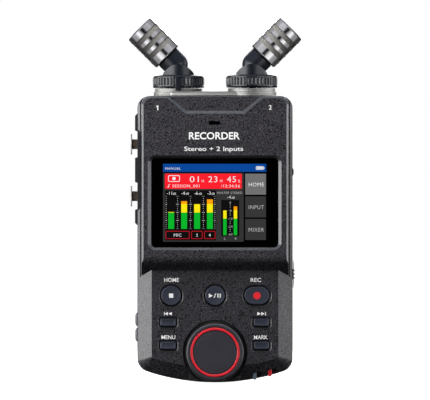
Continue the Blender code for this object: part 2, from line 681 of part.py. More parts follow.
def make_battery_bay():
    half, (low, high), (front, back) = TRAY_HALF_WIDTH, TRAY_HEIGHTS, TRAY_DEPTHS
    tray = box("battery_tray", (-half, front, low), (half, back, high), BLACK_PLASTIC)
    cut(tray, box("tray_inside", (1 - half, front + 1, low + 1), (half - 1, back + 5, high - 1)))
    for i in range(4):
        x = CELL_PITCH * (i - 1.5)
        top = CELL_BOTTOM + CELL_LENGTH
        profile = ((0, top), (2.7, top), (2.7, top - 1), (CELL_RADIUS, top - 1), (CELL_RADIUS, CELL_BOTTOM))
        profile += ((0, CELL_BOTTOM),)
        turned(f"aa_cell_{i + 1}", profile, CELL_WRAP, (x, CELL_Y, 0.0), steps=16)
    make_battery_cover()


def make_battery_cover():
    low, high = COVER_HEIGHTS
    middle = (low + high) / 2
    outside = rounded_box(0, middle, 2 * COVER_HALF_WIDTH, high - low, 2.0)
    cover = loft("battery_cover", [(outside, BACK_INSIDE + 0.3), (outside, BACK_FACE)], PAINTED)
    width, height = LATCH_SIZE
    travel = 1.5
    slot = rounded_box(0, LATCH_HEIGHT - travel / 2, width + 0.6, height + 0.6 + travel, 0.8)
    cut(cover, loft("latch_slot", [(slot, 14.0), (slot, 20.0)]))
    knob = rounded_box(0, LATCH_HEIGHT, width, height, 0.6)
    sections = [(knob, BACK_INSIDE + 0.3), (knob, BACK_FACE - 0.2)]
    loft("battery_latch", sections, BLACK_PLASTIC, origin=(0.0, BACK_FACE, LATCH_HEIGHT))


def make_back_fittings():
    origin, back = (0.0, 0.0, TRIPOD_HEIGHT), (0, 1, 0)
    profile = [(3.2, 17.9), (5.5, 17.9), (5.5, 11.8), (3.2, 11.8)]
    turned("tripod_insert", profile, BRASS, origin, back, closed=True)
    origin = (0.0, 0.0, SPEAKER_HEIGHT)
    cylinder("speaker", SPEAKER_RADIUS, 11.4, 15.6, STEEL, origin, back)


make_front_case()
make_display_panel()
make_rear_case()
make_screws()
make_display()
make_boards()
make_buttons()
make_dial()
make_side_controls()
make_power_slider()
make_bottom_switches()
make_top_plate()
make_microphone(-1)
make_microphone(1)
make_xlr_inputs()
make_port_door()
make_battery_bay()
make_back_fittings()
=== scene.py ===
"""Looks of the field recorder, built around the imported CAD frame.

Sizes are millimetres in the body frame of the CAD: X to the user's right, Y from the front to the back
with 0 at mid-depth, and Z up from the body's lowest point. The helpers turn them into the row frame.
"""

import json
from math import asin, atan2, cos, degrees, hypot, pi, radians, remainder, sin, sqrt, tan, tau

import bmesh
import bpy
from mathutils import Matrix, Vector

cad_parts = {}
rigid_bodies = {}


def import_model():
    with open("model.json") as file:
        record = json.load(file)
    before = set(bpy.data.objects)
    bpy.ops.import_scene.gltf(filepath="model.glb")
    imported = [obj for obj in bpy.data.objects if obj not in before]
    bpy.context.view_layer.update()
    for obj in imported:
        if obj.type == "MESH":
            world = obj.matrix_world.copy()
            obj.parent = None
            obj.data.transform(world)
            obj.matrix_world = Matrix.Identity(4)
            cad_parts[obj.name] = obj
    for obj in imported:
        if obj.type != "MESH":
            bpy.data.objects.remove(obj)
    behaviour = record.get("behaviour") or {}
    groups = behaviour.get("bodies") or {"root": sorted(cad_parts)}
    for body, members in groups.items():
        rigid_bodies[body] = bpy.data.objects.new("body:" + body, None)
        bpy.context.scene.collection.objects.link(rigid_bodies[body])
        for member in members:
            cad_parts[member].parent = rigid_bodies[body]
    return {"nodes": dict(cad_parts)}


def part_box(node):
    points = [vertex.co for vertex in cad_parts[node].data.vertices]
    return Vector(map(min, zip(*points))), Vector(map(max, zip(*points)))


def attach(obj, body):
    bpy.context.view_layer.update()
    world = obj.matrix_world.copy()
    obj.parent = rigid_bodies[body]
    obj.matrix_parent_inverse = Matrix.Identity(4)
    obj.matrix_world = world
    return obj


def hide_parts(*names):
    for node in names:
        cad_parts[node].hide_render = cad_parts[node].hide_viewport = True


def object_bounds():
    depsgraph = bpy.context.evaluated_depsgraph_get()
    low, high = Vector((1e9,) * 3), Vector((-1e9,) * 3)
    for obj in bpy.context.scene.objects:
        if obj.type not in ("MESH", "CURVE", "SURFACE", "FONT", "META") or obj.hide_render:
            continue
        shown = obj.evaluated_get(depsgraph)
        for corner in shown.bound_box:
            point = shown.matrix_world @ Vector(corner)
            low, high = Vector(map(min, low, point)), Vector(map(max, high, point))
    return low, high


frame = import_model()
cad_low, cad_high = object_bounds()

MM = 0.001
NODES = frame["nodes"]
REAR_LOW, REAR_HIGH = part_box("rear_case")
BODY_ORIGIN = Vector(((REAR_LOW.x + REAR_HIGH.x) / 2, REAR_HIGH.y - 18.0 * MM, REAR_LOW.z))

# ---- Sizes of the body (mm) ----
HALF_WIDTH = 36.35
TOP = 133.9
FRONT, CONTROL, SHOULDER = -18.0, -14.4, -11.5
CAVITY, SPLIT = -11.9, -4.0
BACK, BACK_INSIDE = 18.0, 16.0
GLASS = -17.0
BOTTOM_ARC = 102.0
GAP = 0.3
SEAM = 35.1  # half width of the groove round the raised panel
KEY_FACE, DISH = CONTROL - 0.9, 0.16
DIAL_X, DIAL_Z = 0.0, 14.15
DIAL_RADIUS, WELL_RADIUS = 13.35, 14.6
DISPLAY_X, DISPLAY_Z = -0.1, 84.0
LCD_HOLE = (DISPLAY_X, DISPLAY_Z, 54.6, 39.2, 1.0)  # middle, width, height, corner radius
TALLY = (-0.2, 121.3)
MIC_X, MIC_Y = 17.15, 5.5
SPIGOT_RADIUS = 6.3
TILT_OFFSET, TILT_HEIGHT = 2.4, 147.6  # where the tilted axis passes the swivel's axis
CAPSULE_RADIUS = 7.6
CAPSULE_START, CAPSULE_END = 7.0, 25.9
WINDOWS = ((11.4, 13.8), (15.5, 17.9), (19.6, 22.1))
XLR_Y, XLR_HEIGHTS = 5.0, (111.4, 87.1)
GUARDS = ((73.3, 81.1), (93.3, 105.4), (117.5, 126.0))
LATCH_Y = -7.4
SIDE_Y, JACK_Z = 5.0, 44.0
VOLUME_KEYS = (("volume_up_key", 29.25), ("volume_down_key", 22.1))
SLIDER_Y, SLIDER_Z = 5.5, 50.5
HINGE_X, HINGE_Z = 35.1, 75.6
HATCH_Z, TRIPOD_Z = 38.65, 94.0
SCREWS = ((-31.0, 128.0), (31.0, 128.0), (-31.0, 70.6), (31.0, 70.6))
SWITCHES = (("low_cut_switch", 18.6), ("pad_switch", 25.65))
TO_LEFT, TO_FRONT, TO_BACK = (-1, 0, 0), (0, -1, 0), (0, 1, 0)
# name, x, z, width, height, corner radius
BUTTONS = (
    ("stop", -20.5, 40.6, 9.1, 9.1, 4.5),
    ("play", 0.0, 40.6, 9.1, 9.1, 4.5),
    ("record", 19.6, 40.6, 11.6, 8.1, 4.0),
    ("rewind", -21.9, 28.1, 7.1, 3.45, 0.5),
    ("forward", 21.7, 28.1, 7.1, 3.45, 0.5),
    ("menu", -21.9, 17.3, 7.1, 3.45, 0.5),
    ("mark", 21.7, 17.3, 7.1, 3.45, 0.5),
)
LAYER, UNDERLAP = 0.012, 0.01  # step between printed layers, and how far each reaches under the face
CAP_HEIGHT = 0.73  # of the font's capitals at size 1
CARD_DISTANCE = 0.62  # metres from the recorder to the nearest soft boxes


# ---- Node helpers ----
def node(tree, kind, inputs=None, **settings):
    """New node with its settings, and its inputs given as values or as other nodes' outputs."""
    made = tree.nodes.new(kind)
    for key, value in settings.items():
        setattr(made, key, value)
    for key, value in (inputs or {}).items():
        if isinstance(value, bpy.types.NodeSocket):
            tree.links.new(value, made.inputs[key])
        else:
            made.inputs[key].default_value = value
    return made


def math_node(tree, operation, first, second=0.0):
    return node(tree, "ShaderNodeMath", {0: first, 1: second}, operation=operation).outputs[0]


def ramp(tree, value, stops):
    """Colour ramp over (place, colour) stops."""
    made = node(tree, "ShaderNodeValToRGB", {"Fac": value})
    elements = made.color_ramp.elements
    while len(elements) < len(stops):
        elements.new(0.5)
    for element, (place, colour) in zip(elements, stops):
        element.position = place
        element.color = (*colour, 1.0) if len(colour) == 3 else colour
    return made.outputs["Color"]


def grey(value):
    return (value, value, value)


def noise(tree, vector, scale, detail=2.0, roughness=0.5):
    inputs = {"Vector": vector, "Scale": scale, "Detail": detail, "Roughness": roughness}
    return node(tree, "ShaderNodeTexNoise", inputs).outputs["Fac"]


def mix(tree, factor, first, second, blend="MIX"):
    made = node(tree, "ShaderNodeMix", data_type="RGBA", blend_type=blend)
    sockets = {s.identifier: s for s in made.inputs}
    for key, value in (("Factor_Float", factor), ("A_Color", first), ("B_Color", second)):
        if isinstance(value, bpy.types.NodeSocket):
            tree.links.new(value, sockets[key])
        else:
            sockets[key].default_value = value if key == "Factor_Float" else (*value, 1.0)
    return next(s for s in made.outputs if s.identifier == "Result_Color")


def new_shader(name, roughness=0.5, metallic=0.0, **sockets):
    """Principled material with constants on its own sockets, and the object's own coordinates."""
    material = bpy.data.materials.new(name)
    material.use_nodes = True
    tree = material.node_tree
    shader = tree.nodes["Principled BSDF"]
    shader.inputs["Roughness"].default_value = roughness
    shader.inputs["Metallic"].default_value = metallic
    for key, value in sockets.items():
        shader.inputs[key.replace("_", " ")].default_value = value
    where = tree.nodes.new("ShaderNodeTexCoord").outputs["Object"]
    return material, tree, shader, where


def feed(shader, socket, value):
    shader.id_data.links.new(value, shader.inputs[socket])


def bump(tree, shader, height, strength, distance):
    inputs = {"Height": height, "Strength": strength, "Distance": distance * MM}
    made = node(tree, "ShaderNodeBump", inputs)
    feed(shader, "Normal", made.outputs["Normal"])


def rough_range(tree, shader, value, low, high):
    made = node(tree, "ShaderNodeMapRange", {"Value": value, "To Min": low, "To Max": high})
    feed(shader, "Roughness", made.outputs["Result"])


# ---- Materials ----
def make_paint(name, tone, low, high, gloss, fleck, coarse):
    """Dark grey paint of that tone and range of roughness, mottled by that much, with darker flecks."""
    material, tree, shader, where = new_shader(name, 0.5, Coat_Weight=gloss, Coat_Roughness=0.2)
    shader.inputs["Specular IOR Level"].default_value = 0.15
    fine = noise(tree, where, 1700, 3.0, 0.65)
    cloud = noise(tree, where, 90, 2.0)
    body = ramp(tree, cloud, [(0.3, tuple(c * 0.9 for c in tone)), (0.7, tuple(c * 1.1 for c in tone))])
    levels = ((0.34, 0.15), (0.45, 0.72), (0.56, 1.15), (0.67, 2.9))
    grains = ramp(tree, fine, [(place, grey(1.0 + (level - 1.0) * coarse)) for place, level in levels])
    cells = node(tree, "ShaderNodeTexVoronoi", {"Vector": where, "Scale": 960.0})
    size = node(tree, "ShaderNodeSeparateColor", {0: cells.outputs["Color"]}).outputs[0]
    reach = math_node(tree, "MULTIPLY", math_node(tree, "POWER", size, 1.5), 0.5)
    near = math_node(tree, "SUBTRACT", cells.outputs["Distance"], reach)
    flecks = ramp(tree, math_node(tree, "ADD", near, 0.5), [(0.44, grey(fleck)), (0.54, grey(1.0))])
    colour = mix(tree, 1.0, mix(tree, 1.0, body, grains, "MULTIPLY"), flecks, "MULTIPLY")
    feed(shader, "Base Color", colour)
    rough_range(tree, shader, fine, low, high)
    bump(tree, shader, fine, 0.4, 0.07)
    return material


def make_plastic(name, colour, roughness, grain=3000, depth=0.02, **sockets):
    """Moulded plastic: a fine grain, faint cloudiness and uneven gloss."""
    material, tree, shader, where = new_shader(name, roughness, **sockets)
    fine = noise(tree, where, grain, 2.0)
    cloud = noise(tree, where, 120, 3.0)
    dark = tuple(c * 0.86 for c in colour)
    light = tuple(min(1.0, c * 1.12) for c in colour)
    feed(shader, "Base Color", ramp(tree, cloud, [(0.3, dark), (0.7, light)]))
    rough_range(tree, shader, cloud, roughness * 0.88, roughness * 1.12)
    bump(tree, shader, fine, 0.3, depth)
    return material


def make_metal(name, colour, roughness, lines=0.0, brushed=(1, 1, 1), depth=0.01):
    """Metal with brushed streaks or turned lines along Z, and uneven gloss."""
    material, tree, shader, where = new_shader(name, roughness, 1.0)
    stretched = node(tree, "ShaderNodeMapping", {"Vector": where, "Scale": brushed}).outputs[0]
    streaks = noise(tree, stretched, 900, 4.0, 0.6)
    dark, light = tuple(c * 0.8 for c in colour), tuple(min(1.0, c * 1.1) for c in colour)
    feed(shader, "Base Color", ramp(tree, streaks, [(0.3, dark), (0.7, light)]))
    rough_range(tree, shader, streaks, roughness * 0.75, roughness * 1.3)
    height = streaks
    if lines:
        z = node(tree, "ShaderNodeSeparateXYZ", {0: where}).outputs["Z"]
        wave = math_node(tree, "SINE", math_node(tree, "MULTIPLY", z, tau / (lines * MM)))
        height = math_node(tree, "ADD", math_node(tree, "MULTIPLY", wave, 0.5), streaks)
    bump(tree, shader, height, 0.5, depth)
    return material


def make_mesh_metal():
    """Woven wire, by angle round the capsule's axis and height along it."""
    material, tree, shader, where = new_shader("woven_wire", 0.55, 0.35)
    split = node(tree, "ShaderNodeSeparateXYZ", {0: where})
    angle = math_node(tree, "ARCTAN2", split.outputs["Y"], split.outputs["X"])
    radius, pitch = 6.4, 0.34
    waves = tau * radius / pitch / 6.28  # for each radian
    round_it = math_node(tree, "SINE", math_node(tree, "MULTIPLY", angle, waves))
    along = math_node(tree, "SINE", math_node(tree, "MULTIPLY", split.outputs["Z"], tau / (pitch * MM)))
    weave = math_node(tree, "MULTIPLY", round_it, along)
    height = node(tree, "ShaderNodeMapRange", {"Value": weave, "From Min": -1.0}).outputs["Result"]
    stops = [(0.15, (0.09, 0.086, 0.08)), (0.5, (0.19, 0.184, 0.17)), (0.8, (0.29, 0.28, 0.26))]
    feed(shader, "Base Color", ramp(tree, height, stops))
    rough_range(tree, shader, noise(tree, where, 800), 0.45, 0.65)
    bump(tree, shader, height, 0.5, 0.05)
    return material


def make_chrome():
    material, tree, shader, where = new_shader("polished_chrome", 0.14, 1.0)
    cloud = noise(tree, where, 260, 3.0)
    stops = [(0.3, (0.66, 0.66, 0.69)), (0.7, (0.78, 0.78, 0.80))]
    feed(shader, "Base Color", ramp(tree, cloud, stops))
    rough_range(tree, shader, cloud, 0.11, 0.17)
    bump(tree, shader, noise(tree, where, 1800), 0.05, 0.01)
    return material


def make_glow(name, colour):
    """A lit patch of the display, as glossy as the glass over it."""
    material, tree, shader, where = new_shader(name, 0.12, Emission_Strength=1.0)
    dots = noise(tree, where, 6000, 0.0)
    lit = ramp(tree, dots, [(0.3, tuple(c * 0.94 for c in colour)), (0.7, colour)])
    shader.inputs["Base Color"].default_value = (0.004, 0.004, 0.004, 1.0)
    feed(shader, "Emission Color", lit)
    return material


def make_glowing_print(name, colour):
    """Screen-printed marking, slightly uneven in cover, which also glows faintly by itself: painted light.
    """
    material, tree, shader, where = new_shader(name, 0.5, Emission_Strength=0.25)
    cover = noise(tree, where, 4200, 2.0)
    tone = ramp(tree, cover, [(0.25, tuple(c * 0.82 for c in colour)), (0.5, colour)])
    feed(shader, "Base Color", tone)
    feed(shader, "Emission Color", tone)
    return material


def make_glass():
    material, tree, shader, where = new_shader("black_glass", 0.04)
    smudge = noise(tree, where, 60, 4.0, 0.6)
    tone = ramp(tree, smudge, [(0.3, grey(0.0002)), (0.8, grey(0.0005))])
    feed(shader, "Base Color", tone)
    rough_range(tree, shader, smudge, 0.03, 0.08)
    return material


PAINT = make_paint("speckled_paint", (0.0420, 0.0395, 0.0465), 0.42, 0.58, 0.8, 0.1, 1.0)
# A lighter, bluer and glossier copy of the body paint for slopes and bevels: painted highlight.
SHEEN_EDGE_PAINT = make_paint("edge_paint", (0.044, 0.048, 0.058), 0.32, 0.40, 1.0, 0.75, 0.35)
# Near-black for the dial's well, the keys' holes, the groove round the panel and the lip's downward face:
# painted shade. It also fills the joint line between the cases.
SHADE_AND_JOINT_BLACK = make_plastic("recess_black", (0.0025, 0.0025, 0.003), 0.6)
BLACK = make_plastic("black_plastic", (0.016, 0.017, 0.021), 0.42)
RING_BLACK = make_plastic("ring_plastic", (0.009, 0.011, 0.016), 0.26, depth=0.006)
ARM_BLACK = make_plastic("arm_plastic", (0.004, 0.006, 0.011), 0.30, depth=0.006, Specular_IOR_Level=0.40)
KEY = make_plastic("key_plastic", (0.0350, 0.0410, 0.0620), 0.36, depth=0.008)
# Much lighter than the dial's plastic, for the dial's outer rim: painted highlight.
RIM_HIGHLIGHT = make_plastic("rim_edge", (0.10, 0.105, 0.12), 0.3, depth=0.008)
DIAL_BLACK = make_plastic("dial_plastic", (0.0250, 0.0225, 0.0330), 0.46, 5200, 0.03)
RED_RING = make_plastic("ring_red", (1.0, 0.030, 0.050), 0.3, Coat_Weight=0.5)
RED = make_plastic("switch_red", (0.78, 0.006, 0.016), 0.38)
BLUE_GREY = make_plastic("switch_blue_grey", (0.13, 0.17, 0.23), 0.42)
RUBBER = make_plastic("door_rubber", (0.022, 0.022, 0.024), 0.72, 2200, 0.04)
BOARD = make_plastic("solder_mask", (0.008, 0.085, 0.035), 0.35, 700, 0.03)
WRAP = make_plastic("cell_wrap", (0.030, 0.030, 0.034), 0.28, 900, 0.004, Coat_Weight=0.5)
SILVER = make_metal("turned_silver", (0.30, 0.30, 0.288), 0.52, 0.45, (0.08, 0.08, 4), 0.03)
PLATE = make_metal("satin_plate", (0.60, 0.60, 0.58), 0.44, brushed=(0.12, 1, 1))
STEEL = make_metal("plated_steel", (0.62, 0.59, 0.55), 0.28, brushed=(1, 0.2, 1))
DARK_STEEL = make_metal("blackened_steel", (0.20, 0.15, 0.11), 0.35, brushed=(0.2, 1, 1))
LATCH_STEEL = make_metal("brushed_latch", (0.34, 0.33, 0.315), 0.46, brushed=(1, 1, 0.15))
# Dark chrome for the cage's rounded ends: painted shade in place of their reflections.
SHADED_END_CHROME = make_metal("edge_chrome", (0.13, 0.135, 0.15), 0.24)
BRASS = make_metal("machined_brass", (0.66, 0.47, 0.20), 0.3, brushed=(1, 1, 0.2))
CHROME = make_chrome()
WIRE = make_mesh_metal()
GLASS_BLACK = make_glass()
WHITE_PRINT = make_glowing_print("white_print", (0.86, 0.86, 0.85))
RED_PRINT = make_glowing_print("red_print", (0.72, 0.006, 0.016))


# ---- Mesh helpers ----
def at(x, y, z):
    return BODY_ORIGIN + Vector((x, y, z)) * MM


def place_in_scene(obj):
    bpy.context.scene.collection.objects.link(obj)
    return obj


def add(name, bm, angle=24):
    """Object from a bmesh in the row frame, smooth but for edges over that angle."""
    bmesh.ops.recalc_face_normals(bm, faces=bm.faces)
    mesh = bpy.data.meshes.new(name)
    bm.to_mesh(mesh)
    bm.free()
    mesh.shade_smooth()
    mesh.set_sharp_from_angle(angle=radians(angle))
    return place_in_scene(bpy.data.objects.new(name, mesh))


def loft(name, sections, axis="Y", triangles=False, angle=15):
    """Closed solid through outlines of equal point count, given with their places along the axis."""
    bm = bmesh.new()
    rings = []
    for outline, place in sections:
        points = [{"X": (place, u, v), "Y": (u, place, v), "Z": (u, v, place)}[axis] for u, v in outline]
        rings.append([bm.verts.new(at(*point)) for point in points])
    for first, second in zip(rings, rings[1:]):
        for i, corner in enumerate(first):
            bm.faces.new((first[i - 1], corner, second[i], second[i - 1]))
    if triangles:
        bmesh.ops.triangulate(bm, faces=bm.faces)
    bm.faces.new(rings[0])
    bm.faces.new(rings[-1])
    return add(name, bm, angle)


def prism(name, outline, start, end, axis="Y"):
    """Solid of that outline between two places along the axis."""
    return loft(name, [(outline, start), (outline, end)], axis)


def box(name, low, high):
    outline = [(low[0], low[2]), (low[0], high[2]), (high[0], high[2]), (high[0], low[2])]
    return prism(name, outline, low[1], high[1])


def turned(
    name, profile, origin=(0, 0, 0), direction=(0, 0, 1), steps=96,
    closed=False, flutes=0, share=0.5,
):
    """Solid of revolution from (radius, height) points, or (radius, height, depth) where flutes are cut.

    Heights count from the origin along the direction, and the profile runs down its outer side.
    """
    bm = bmesh.new()
    rings = []
    for point in profile:
        radius, height = point[:2]
        depth = point[2] if len(point) > 2 else 0.0
        if radius == 0:
            rings.append([bm.verts.new((0, 0, height * MM))])
            continue
        ring = []
        for i in range(steps):
            turn = tau * i / steps
            phase = (i * flutes / steps) % 1.0 - 0.5
            groove = max(0.0, cos(pi * phase / share)) if abs(phase) < share / 2 else 0.0
            r = (radius - depth * groove) * MM
            ring.append(bm.verts.new((r * cos(turn), r * sin(turn), height * MM)))
        rings.append(ring)
    pairs = list(zip(rings, rings[1:])) + ([(rings[-1], rings[0])] if closed else [])
    for first, second in pairs:
        for i in range(max(len(first), len(second))):
            corners = [first[i - 1], first[i]] if len(first) > 1 else [first[0]]
            corners += [second[i], second[i - 1]] if len(second) > 1 else [second[0]]
            bm.faces.new(corners)
    obj = add(name, bm)
    rotation = Vector(direction).to_track_quat("Z", "Y")
    obj.matrix_world = Matrix.Translation(at(*origin)) @ rotation.to_matrix().to_4x4()
    return obj


def rod(name, radius, low, high, origin=(0, 0, 0), direction=(0, 0, 1), steps=64):
    profile = ((0, high), (radius, high), (radius, low), (0, low))
    return turned(name, profile, origin, direction, steps)


def add_pin(bm, radius, tip_radius, length, matrix):
    radii = {"radius1": radius * MM, "radius2": tip_radius * MM}
    bmesh.ops.create_cone(bm, cap_ends=True, segments=24, depth=length * MM, matrix=matrix, **radii)


def settle(obj):
    """Turns an object's modifiers into its mesh."""
    bpy.context.view_layer.update()
    graph = bpy.context.evaluated_depsgraph_get()
    mesh = bpy.data.meshes.new_from_object(obj.evaluated_get(graph))
    old = obj.data
    obj.modifiers.clear()
    obj.data = mesh
    bpy.data.meshes.remove(old)
    mesh.name = obj.name
    return obj


def combine(obj, operation, others):
    """Cuts, joins or intersects the others with the object, and removes them."""
    for other in others:
        modifier = obj.modifiers.new(other.name, "BOOLEAN")
        modifier.operation = operation
        modifier.solver = "EXACT"
        modifier.object = other
    settle(obj)
    for other in others:
        bpy.data.objects.remove(other)
    obj.data.shade_smooth()
    obj.data.set_sharp_from_angle(angle=radians(15))
    return obj


def cut(obj, *cutters):
    return combine(obj, "DIFFERENCE", cutters)


def fuse(obj, *others):
    return combine(obj, "UNION", others)


def soften(obj, width=0.2, segments=2, angle=18):
    """Rounds the edges over that angle."""
    bevel = obj.modifiers.new("edges", "BEVEL")
    bevel.width = width * MM
    bevel.segments = segments
    bevel.limit_method = "ANGLE"
    bevel.angle_limit = radians(angle)
    weighted = obj.modifiers.new("normals", "WEIGHTED_NORMAL")
    weighted.keep_sharp = True
    return obj


def dress(obj, material, body="root", slot=None, stands_for=()):
    """Gives a finished piece its material and the CAD body it rides on, and hides the CAD nodes it stands
    for.
    """
    obj.data.materials.clear()
    obj.data.materials.append(material)
    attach(obj, body)
    if stands_for:
        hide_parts(*([stands_for] if isinstance(stands_for, str) else stands_for))
    return obj


def mark_faces(obj, material, test):
    """Gives a second material to the faces that pass the test, which takes a face's middle and normal."""
    obj.data.materials.append(material)
    for face in obj.data.polygons:
        if test(face.center, face.normal):
            face.material_index = len(obj.data.materials) - 1


def in_body(point):
    """Millimetres in the body frame from a point in the row frame."""
    return (point - BODY_ORIGIN) / MM


# ---- Outlines ----
def rounded(corners, steps=10):
    """Outline through (u, v, radius) corners: each becomes an arc of that radius, or stays sharp at 0."""
    points = []
    for i, (u, v, radius) in enumerate(corners):
        corner = Vector((u, v))
        if not radius:
            points.append(tuple(corner))
            continue
        before = (Vector(corners[i - 1][:2]) - corner).normalized()
        after = (Vector(corners[(i + 1) % len(corners)][:2]) - corner).normalized()
        half = before.angle(after) / 2
        centre = corner + (before + after).normalized() * (radius / sin(half))
        reach = radius / tan(half)
        start = atan2(*reversed(corner + before * reach - centre))
        end = atan2(*reversed(corner + after * reach - centre))
        sweep = remainder(end - start, tau)
        for k in range(steps + 1):
            turn = start + sweep * k / steps
            points.append((centre.x + radius * cos(turn), centre.y + radius * sin(turn)))
    return points


def rounded_box(u, v, width, height, radius, steps=10):
    half_u, half_v = width / 2, height / 2
    corners = ((-1, 1), (-1, -1), (1, -1), (1, 1))
    return rounded([(u + a * half_u, v + b * half_v, radius) for a, b in corners], steps)


def upright(x, half, top, foot, top_radius, foot_radius=0, steps=10):
    """Box outline with one corner radius at its top and another at its foot."""
    left, right = x - half, x + half
    corners = [(left, top, top_radius), (left, foot, foot_radius)]
    return rounded(corners + [(right, foot, foot_radius), (right, top, top_radius)], steps)


def panel_outline(half, top, low, radius=4.2):
    return upright(0, half, top, low, radius)


def bottom_edge(x, lowest=0.0):
    return lowest + BOTTOM_ARC - sqrt(BOTTOM_ARC**2 - x**2)


def body_outline(half_width, top, lowest, top_radius, bottom_radius):
    """Straight sides and top, an arc across the bottom, and four rounded corners."""
    foot = bottom_edge(half_width, lowest)
    corners = [(-half_width, top, top_radius), (-half_width, foot, bottom_radius)]
    for k in range(-10, 11):
        x = (half_width - bottom_radius - 1.5) * k / 10
        corners.append((x, bottom_edge(x, lowest), 0))
    corners += [(half_width, foot, bottom_radius), (half_width, top, top_radius)]
    return rounded(corners)


def case_edge(grow=0.0, half_width=HALF_WIDTH):
    return body_outline(half_width + grow, TOP + grow, -grow, 5.5 + grow, 6.0 + grow)


def front_form(grow, front, back):
    flat = body_outline(29.6 + grow, TOP - 1.0 + grow, 7.1 - grow, 3.0, 1.2)
    edge = case_edge(grow, 36.1)
    return [(flat, front), (edge, front + SHOULDER - CONTROL), (edge, back)]


def on_dial(name, profile, **settings):
    return turned(name, profile, (DIAL_X, 0.0, DIAL_Z), TO_FRONT, **settings)


def mic_base(side):
    return side * MIC_X, -side * MIC_Y, 0.0


def on_tilt(name, profile, side, steps):
    """Solid of revolution on a microphone's tilted axis."""
    x, y, _ = mic_base(side)
    return turned(name, profile, (x, y + side * TILT_OFFSET, TILT_HEIGHT), (side, 0, 1), steps)


# ---- Front case ----
def xlr_notch(gap=0.0, beyond=0.0):
    inner, outer = -34.75 + gap, -36.3 - beyond
    slant = inner - outer
    low, high = 80.4 - gap - beyond, 118.2 + gap + beyond
    return [(outer, low), (outer, high), (inner, high - slant), (inner, low + slant)]


def key_hole(name, x, z, width, height, radius):
    """Cutter for a key, with a flared mouth."""

    def ring(grow):
        return rounded_box(x, z, width + grow, height + grow, radius + grow / 2)

    hole = ring(0.7)
    flare = [(ring(2.4), CONTROL - 0.01), (ring(1.4), CONTROL + 0.2)]
    return loft(name + "_hole", [*flare, (hole, CONTROL + 0.5), (hole, -10.0)])


def make_front_shell():
    shell = loft("front_shell", front_form(0.0, CONTROL, SPLIT), triangles=True)
    half = 12.2
    arc = [(half * k / 16, bottom_edge(half * k / 16, 0.15)) for k in range(-16, 17)]
    boss = [(-half, 10.0), *arc, (half, 10.0)]
    fuse(shell, prism("boss", boss, CONTROL, CAVITY))
    profile = [(0, 20), (WELL_RADIUS + 0.5, 20), (WELL_RADIUS + 0.5, -CONTROL + 0.01)]
    profile += [(WELL_RADIUS, -CONTROL - 0.5), (WELL_RADIUS, 13.2), (3.5, 13.2), (3.5, 5), (0, 5)]
    cutters = [
        loft("cavity", front_form(-2.2, CAVITY, 0.0), triangles=True),
        prism("lcd_hole", rounded_box(*LCD_HOLE), -20.0, 0.0),
        *(key_hole(*button) for button in BUTTONS),
        on_dial("well", profile, steps=128),
        prism("notch", xlr_notch(GAP, 1.5), -16.0, 0.0),
        box("wall_opening", (-34.6, -11.2, 81.0), (-32, 0, 117.8)),
        rod("spigot", SPIGOT_RADIUS, 120, 140, mic_base(1)),
    ]
    for name, x in SWITCHES:
        edge = bottom_edge(x)
        cutters.append(box(name + "_slot", (x - 1.15, -12.6, edge - 3.0), (x + 3.15, -10.1, edge + 5.5)))
    seam = prism("seam", panel_outline(SEAM, TOP + 0.35, 49.4, 4.55), -16.0, -11.3)
    core = panel_outline(SEAM - 0.5, TOP - 0.15, 47.0, 4.0)
    cutters.append(cut(seam, prism("seam_core", core, -17.0, -11.0)))
    cut(shell, *cutters)
    dress(soften(shell, 0.22), PAINT, slot="body_paint", stands_for="front_case")
    # Painted shade: the well, the keys' holes and the groove go near-black.
    mark_faces(shell, SHADE_AND_JOINT_BLACK, is_painted_shade)
    # Painted highlight: the slopes beside the raised panel get the lighter copy of the paint.
    mark_faces(shell, SHEEN_EDGE_PAINT, is_sheen_strip)


def is_sheen_strip(middle, normal):
    """True for the narrow slopes of the case beside the raised panel, which get a lighter, glossier copy of
    the paint as painted highlight.
    """
    x, y, z = in_body(middle)
    return abs(x) > SEAM and z > 50.0 and -14.5 < y < -11.6 and 0.3 < abs(normal.y) < 0.97


def is_painted_shade(middle, normal):
    """True for the walls and floors of the dial's well, of the keys' holes and of the seam, which go
    near-black as painted shade.
    """
    x, y, z = in_body(middle)
    if CONTROL + 0.05 < y < -11.0 and hypot(x - DIAL_X, z - DIAL_Z) < WELL_RADIUS + 0.48:
        return True
    if y < CONTROL + 0.22 or y > -11.0:
        return False
    if z > 49.0 and abs(normal.y) < 0.1 and y < -11.2 and (abs(x) > SEAM - 0.7 or z > TOP - 5):
        return abs(x) < SEAM + 0.2
    return any(abs(x - b[1]) < b[3] / 2 + 0.75 and abs(z - b[2]) < b[4] / 2 + 0.75 for b in BUTTONS)


def slope_profile():
    """The raised panel's lower end in Y and Z: a straight slope that rolls into the face on a wide arc."""
    z, radius, steps, end = 56.8, 5.5, 10, -8.0
    tilt = atan2(CONTROL - FRONT, 4.6)
    top = z + radius * tan(tilt / 2)
    turns = [tilt * k / steps for k in range(steps + 1)]
    points = [(FRONT + radius * (1 - cos(turn)), top - radius * sin(turn)) for turn in turns]
    last_y, last_z = points[-1]
    return points + [(end, last_z - (end - last_y) / tan(tilt))]


